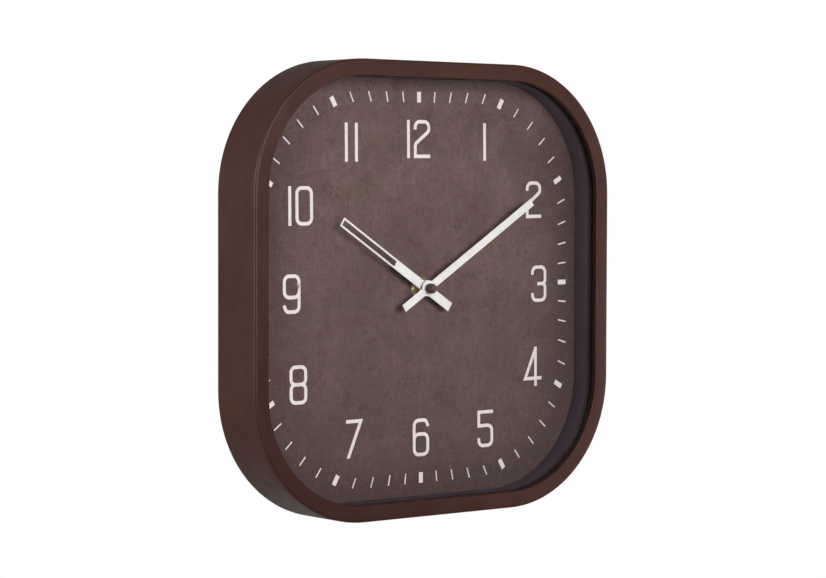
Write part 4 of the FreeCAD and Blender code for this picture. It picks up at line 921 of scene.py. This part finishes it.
def make_front_stack():
    overlap = BEZEL_WIDTH - STACK_OVERLAP
    low, high = heights("glass_gasket")
    inner = BEZEL_WIDTH - GASKET_SETBACK
    section = chamfered(inner, overlap, low, high, 0.4)
    make_frame_part("glass_gasket", "black_rubber", section)
    low, high = heights("spacer_ring")
    flange = high - RING_FLANGE
    outer = BEZEL_WIDTH - RING_WALL
    section = [(outer, low), (BEZEL_WIDTH - 0.3, low), (BEZEL_WIDTH, low + 0.3),
               (BEZEL_WIDTH, high - 0.5), (BEZEL_WIDTH - 0.2, high - 0.15),
               (BEZEL_WIDTH - 0.5, high), (overlap, high), (overlap, flange), (outer, flange)]
    make_frame_part("spacer_ring", "ring_plastic", section)


# -------- hands and centre

def plate(name, loops, low, high, edge):
    """A flat solid from closed (x, z) loops, the first one outside, with rounded edges."""
    data = bpy.data.curves.new(name, "CURVE")
    data.dimensions = "2D"
    data.fill_mode = "BOTH"
    data.extrude = ((high - low) / 2 - edge) * MM
    data.bevel_depth = edge * MM
    data.bevel_resolution = 2
    data.offset = -edge * MM
    for loop in loops:
        spline = data.splines.new("POLY")
        spline.points.add(len(loop) - 1)
        spline.use_cyclic_u = True
        for point, (x, z) in zip(spline.points, loop):
            point.co = (x * MM, z * MM, 0, 1)
    helper = new_object(name, data)
    evaluated = helper.evaluated_get(bpy.context.evaluated_depsgraph_get())
    rough = bpy.data.meshes.new_from_object(evaluated)
    bpy.data.objects.remove(helper)
    shape = bmesh.new()
    shape.from_mesh(rough)
    bmesh.ops.remove_doubles(shape, verts=shape.verts, dist=0.001 * MM)
    stand = Matrix.Rotation(math.pi / 2, 4, "X")
    middle = Matrix.Translation((0, -(low + high) / 2 * MM, 0))
    bmesh.ops.transform(shape, matrix=middle @ stand, verts=shape.verts)
    mesh = mesh_from(name, shape)
    for face in mesh.polygons:
        face.use_smooth = abs(face.normal.y) < FLAT_ENOUGH
    return mesh


def circle(radius, x=0, z=0, steps=64):
    points = [turned(radius, 0, math.tau * step / steps) for step in range(steps)]
    return [(x + px, z + pz) for px, pz in points]


def hand_outline(half, tail, reach):
    """A square-ended blade joined to the round hub."""
    swing = math.degrees(math.acos(half / HUB_RADIUS))
    right = arc((0, 0), HUB_RADIUS, -swing, swing, 18)
    left = arc((0, 0), HUB_RADIUS, 180 - swing, 180 + swing, 18)
    return [(-half, -tail), (half, -tail)] + right + [(half, reach), (-half, reach)] + left


def make_hand(name, loops, body, angle):
    low, high = heights(name)
    mesh = plate(name + "_blade", loops, low, high, HAND_EDGE)
    mesh.transform(Matrix.Rotation(math.radians(angle), 4, "Y"))
    add_piece(name + "_blade", mesh, body, "hand_white", replaced=[name])


def make_hands():
    rail = HOUR_HALF - SLOT_RAIL
    slot = [(-rail, SLOT_START), (rail, SLOT_START), (rail, HOUR_REACH - SLOT_RAIL),
            (-rail, HOUR_REACH - SLOT_RAIL)]
    hour = [hand_outline(HOUR_HALF, HOUR_TAIL, HOUR_REACH), circle(HOUR_PIPE), slot]
    make_hand("hour_hand", hour, "hour_group", HOUR_ANGLE)
    minute = [hand_outline(MINUTE_HALF, MINUTE_TAIL, MINUTE_REACH), circle(MINUTE_SHAFT)]
    make_hand("minute_hand", minute, "minute_group", MINUTE_ANGLE)


def make_turned_part(name, slot, body, profile):
    add_piece(name + "_turned", lathed(name + "_turned", profile), body, slot, replaced=[name])


def make_cap():
    """A ball on a short stem, bored for the minute arbor."""
    low, high = heights("centre_cap")
    rear = arc((CAP_RADIUS - CAP_REAR_ROUND, CAP_BACK + CAP_REAR_ROUND), CAP_REAR_ROUND, -90, 0, 8)
    front = arc((CAP_RADIUS - CAP_FRONT_ROUND, high - CAP_FRONT_ROUND), CAP_FRONT_ROUND, 0, 90, 16)
    stem = [(MINUTE_SHAFT, low), (CAP_STEM - 0.2, low), (CAP_STEM, low + 0.2), (CAP_STEM, CAP_BACK)]
    profile = [(0, CAP_BORE_END), (MINUTE_SHAFT, CAP_BORE_END)] + stem + rear + front + [(0, high)]
    make_turned_part("centre_cap", "cap_brown", "minute_group", profile)


def make_washer():
    low, high = heights("brass_washer")
    profile = [(BUSH_RADIUS, low), (WASHER_RADIUS - 0.1, low), (WASHER_RADIUS, low + 0.1),
               (WASHER_RADIUS, high - 0.25), (WASHER_RADIUS - 0.25, high), (BUSH_RADIUS, high)]
    make_turned_part("brass_washer", "washer_brass", "root", profile)


def make_bush():
    """The threaded bush, with its thread as fine rings."""
    low, high = heights("threaded_bush")
    thread = []
    for turn in range(int((high - THREAD_RUNOUT - low) / THREAD_PITCH)):
        foot = low + BUSH_BREAK + turn * THREAD_PITCH
        thread += [(BUSH_RADIUS, foot), (BUSH_RADIUS - THREAD_DEEP, foot + THREAD_PITCH / 2)]
    profile = [(BUSH_BORE, low), (BUSH_RADIUS, low)] + thread
    profile += [(BUSH_RADIUS - 0.05, high - 0.5), (BUSH_RADIUS - 0.4, high),
                (BUSH_BORE + BUSH_BREAK, high), (BUSH_BORE, high - BUSH_BREAK)]
    make_turned_part("threaded_bush", "bush_brass", "root", profile)


def make_nut():
    """A hexagon nut whose front and rear corners are cut back by a cone."""
    low, high = heights("hex_nut")
    flat = NUT_FLATS / 2
    cone = flat * NUT_CONE
    steps = 96
    shape = bmesh.new()
    rings = []
    for level, face in ((low, False), (low, True), (high, True), (high, False)):
        ring = []
        for step in range(steps):
            angle = math.tau * step / steps
            reach = flat / math.cos((angle + NUT_TURN) % (math.pi / 3) - math.pi / 6)
            cut = max(0, reach - cone) * math.tan(math.radians(30))
            height = level
            if face:
                height = level + cut if level == low else level - cut
            radius = reach if face else min(reach, cone)
            x, z = turned(radius, 0, angle)
            ring.append(shape.verts.new(Vector((x, -height, z)) * MM))
        rings.append(ring)
    for height in (high, high - FINE_CUT, low):
        radius = BUSH_RADIUS + (FINE_CUT if height == high else 0)
        bore = [turned(radius, 0, math.tau * step / steps) for step in range(steps)]
        rings.append([shape.verts.new(Vector((x, -height, z)) * MM) for x, z in bore])
    bridge_rings(shape, rings, True)
    add_piece("hex_nut_cut", mesh_from("hex_nut_cut", shape), "root", "bush_brass",
              replaced=["hex_nut"])


def make_dial():
    """The printed linen on its grey fibre board."""
    low, high = heights("dial_board")
    corner = CASE_CORNER - (CASE_HALF - DIAL_HALF)
    loops = [rounded_square(DIAL_HALF, corner), circle(DIAL_HOLE)]
    sheet = plate("dial_sheet", loops, high - SHEET_THICK, high, SHEET_EDGE)
    board = plate("dial_backing", loops, low, high - SHEET_THICK, PLATE_EDGE)
    add_piece("dial_sheet", sheet, "root", "dial_paper", replaced=["dial_board"])
    add_piece("dial_backing", board, "root", "dial_paper", "fibre_board", replaced=["dial_board"])


def make_glass():
    low, high = heights("glass")
    inset = BEZEL_WIDTH - STACK_OVERLAP
    outline = rounded_square(CASE_HALF - inset, CASE_CORNER - inset)
    pane = plate("glass_pane", [outline], low, high, PLATE_EDGE)
    add_piece("glass_pane", pane, "root", "clear_glass", replaced=["glass"])


# -------- cell and movement details

def cell_can():
    """The can's section, with its middle at height 0: a dished foot, a shoulder and the nub."""
    nub = [(NUB_RADIUS, CELL_SHOULDER), (NUB_RADIUS, CELL_NUB_END - FINE_CUT),
           (NUB_RADIUS - FINE_CUT, CELL_NUB_END), (0, CELL_NUB_END)]
    foot = [(0, CAN_DISH - CELL_HALF), (CAN_FOOT - 2.3, CAN_DISH - CELL_HALF),
            (CAN_FOOT - 1.9, -CELL_HALF), (CAN_FOOT, -CELL_HALF), (CAN_RADIUS, 0.4 - CELL_HALF)]
    shoulder = [(CAN_RADIUS, CELL_SHOULDER - 0.8), (CAN_FOOT, CELL_SHOULDER - FINE_CUT),
                (NUB_RADIUS + 0.7, CELL_SHOULDER - FINE_CUT), (NUB_RADIUS + 0.3, CELL_SHOULDER)]
    return foot + shoulder + nub


def cell_sleeve():
    """The sleeve's section: curled inwards over both ends of the can."""
    foot, top = -CELL_HALF, CELL_SHOULDER
    outside = [(6.2, foot + 0.22), (6.7, foot + 0.1), (CELL_RADIUS, foot + 0.6),
               (CELL_RADIUS, top - 0.5), (6.8, top - 0.02), (6.1, top - 0.02)]
    inside = [(6.1, top - 0.25), (6.5, top - 0.25), (6.88, top - 0.8), (6.88, foot + 0.6),
              (6.4, foot + 0.25)]
    return outside + inside


def make_cell():
    """A cell in its sleeve, lying along X."""
    middle = sum(millimetres("battery_cell"), Vector()) / 2
    lay = Matrix.Rotation(math.pi / 2, 4, "Z")
    place = Matrix.Translation(Vector((0, middle.y, middle.z)) * MM)
    for name, profile, material in (("cell_can", cell_can(), "cell_steel"),
                                    ("cell_sleeve", cell_sleeve(), None)):
        mesh = lathed(name, profile)
        mesh.transform(place @ lay)
        add_piece(name, mesh, "battery", "battery_jacket", material, replaced=["battery_cell"])


def make_boxes(name, slot, boxes, low, high):
    """Small raised bars, each given as (x, z, half across, half along, angle)."""
    shape = bmesh.new()
    for x, z, across, along, angle in boxes:
        block(shape, (x, z), across, along, math.radians(angle), low, high)
    add_piece(name, mesh_from(name, shape), "root", slot)


def make_movement_details():
    """Moulded marks on the movement's back: a collar round the knob, polarity and a label panel."""
    back = heights("movement_rear_shell")[0]
    low, high = back - SIGN_RISE, back + SIGN_SINK
    inner, outer = KNOB_COLLAR, KNOB_COLLAR + COLLAR_WIDE
    collar = [(inner, high), (inner, low + 0.15), (inner + 0.15, low), (outer - 0.15, low),
              (outer, low + 0.15), (outer, high)]
    mesh = moved(lathed("knob_collar", collar), *KNOB_PLACE)
    add_piece("knob_collar", mesh, "root", "movement_plastic")
    signs = [(x, SIGN_Z, SIGN_LINE, SIGN_ARM, angle) for x, angle in
             ((SIGN_X, 0), (SIGN_X, 90), (-SIGN_X, 90))]
    make_boxes("polarity_signs", "movement_plastic", signs, low, high)
    x, z = PANEL_MIDDLE
    across, up = PANEL_HALF
    level = [(x, z + up * side, PANEL_LINE, across, 90) for side in (1, -1)]
    upright = [(x + across * side, z, PANEL_LINE, up + PANEL_LINE, 0) for side in (-1, 1)]
    make_boxes("label_panel", "movement_plastic", level + upright, low, high)


# -------- back cover details

def make_cover_details():
    """A bead round the window, another inside the rim, and a ring round each screw."""
    back = heights("back_cover")[0]
    low, high = back - COVER_BEAD_RISE, back + SIGN_SINK
    shape = bmesh.new()
    for half, corner, width in ((WINDOW_HALF + 2.2, 8.2, 1.6), (COVER_BEAD_HALF, 100, 1.4)):
        section = [(0, high), (0, low + 0.4), (0.4, low), (width - 0.4, low), (width, low + 0.4),
                   (width, high)]
        framed(shape, half, corner, section)
    add_piece("cover_beads", mesh_from("cover_beads", shape), "root", "cover_plastic")
    inner, outer = SCREW_RING, SCREW_RING + 1
    ring = [(inner, high), (inner, low + 0.3), (inner + 0.3, low), (outer - 0.3, low),
            (outer, low + 0.3), (outer, high)]
    shape = bmesh.new()
    for x, z in boss_places():
        shape.from_mesh(moved(lathed("screw_ring", ring, 48), x, z))
    add_piece("screw_rings", mesh_from("screw_rings", shape), "root", "cover_plastic")


# -------- CAD nodes

def dress_nodes():
    for part in frame["record"]["subparts"]:
        dress(NODES[part["node"]], part["material_slot"])


# -------- studio

CAMERA_AIM = Vector((-0.0079, -0.025, -0.00075))
CAMERA_DISTANCE = 2.2456
CAMERA_HEADING = 38.636
CAMERA_DROP = 2.326
CAMERA_ROLL = 0.157
CAMERA_LENS = 110.14
SENSOR = 36
FLOOR_DEPTH = -1.3
FLOOR_RADIUS = 3.6


def make_camera():
    heading, drop = math.radians(CAMERA_HEADING), math.radians(CAMERA_DROP)
    forward = Vector((math.sin(heading) * math.cos(drop), math.cos(heading) * math.cos(drop),
                      -math.sin(drop)))
    data = bpy.data.cameras.new("camera")
    data.lens = CAMERA_LENS
    data.sensor_width = SENSOR
    camera = new_object("camera", data)
    level = forward.to_track_quat("-Z", "Y").to_matrix().to_4x4()
    roll = Matrix.Rotation(math.radians(CAMERA_ROLL), 4, "Z")
    camera.matrix_world = Matrix.Translation(CAMERA_AIM - forward * CAMERA_DISTANCE) @ level @ roll
    bpy.context.scene.camera = camera


def make_light(name, place, size, power, colour):
    """A soft panel aimed at the clock."""
    data = bpy.data.lights.new(name, "AREA")
    data.shape = "RECTANGLE"
    data.size, data.size_y = size
    data.energy = power
    data.color = colour
    light = new_object(name, data)
    light.location = place
    light.rotation_euler = (-Vector(place)).to_track_quat("-Z", "Y").to_euler()


# each panel: where it stands, its width and height, its power and its colour
LIGHTS = {
    "key": ((-0.1, -1.9, 0.4), (1.1, 1.1), 43.5, (1, 0.985, 0.975)),
    "fill": ((-2.9, 0.7, 0.6), (1.6, 1.6), 84, (1, 1, 1)),
    "sheen": ((3.3, -2.0, -0.3), (0.9, 0.9), 17, (1, 1, 1)),
    "rear": ((1.3, 2.7, 0), (1.2, 0.36), 30, (1, 1, 1)),
}


def make_lights():
    for name, settings in LIGHTS.items():
        make_light(name, *settings)


def hide_lights_in_glass():
    """The pane mirrors the room but not the light panels."""
    spared = bpy.data.collections.new("pane_only")
    spared.objects.link(bpy.data.objects["glass_pane"])
    spared.collection_objects[0].light_linking.link_state = "EXCLUDE"
    for name in LIGHTS:
        bpy.data.objects[name].light_linking.receiver_collection = spared


def make_world():
    """White behind the object, and a softer room that lights it, brighter towards +Y."""
    paint = Paint("studio", bpy.data.worlds)
    way = paint.add("TexCoord").outputs["Generated"]
    depth = paint.add("SeparateXYZ", Vector=way).outputs["Y"]
    room = paint.add("Background", Strength=paint.levels(depth, -0.2, 0.9, 0.12, 0.28))
    white = paint.add("Background", Color=(1, 1, 1, 1))
    seen = paint.add("LightPath").outputs["Is Camera Ray"]
    bpy.context.scene.world = paint.finish(paint.blend(seen, room, white), "World")


def make_floor():
    shape = bmesh.new()
    bmesh.ops.create_circle(shape, cap_ends=True, segments=96, radius=FLOOR_RADIUS)
    mesh = bpy.data.meshes.new("floor")
    shape.to_mesh(mesh)
    shape.free()
    floor = new_object("floor", mesh)
    floor.location.z = FLOOR_DEPTH
    paint = Paint("floor_paint")
    clouds = paint.noise(300, 3)
    tone = paint.mix(clouds, (0.40, 0.40, 0.40, 1), (0.44, 0.44, 0.44, 1))
    seen = paint.add("LightPath").outputs["Is Camera Ray"]
    shader = paint.add("BsdfPrincipled", Base_Color=tone, Roughness=0.9,
                       Emission_Strength=paint.maths("MULTIPLY", seen, 0.72),
                       Emission_Color=(1, 1, 1, 1))
    mesh.materials.append(paint.finish(shader))


def make_studio():
    make_camera()
    make_lights()
    make_world()
    make_floor()
    bpy.context.scene.view_settings.view_transform = "Standard"


# -------- the whole scene

make_studio()
dress_nodes()
make_case()
make_front_stack()
make_glass()
make_dial()
make_dial_print()
make_hands()
make_cap()
make_washer()
make_bush()
make_nut()
make_cell()
make_movement_details()
make_cover_details()
hide_lights_in_glass()
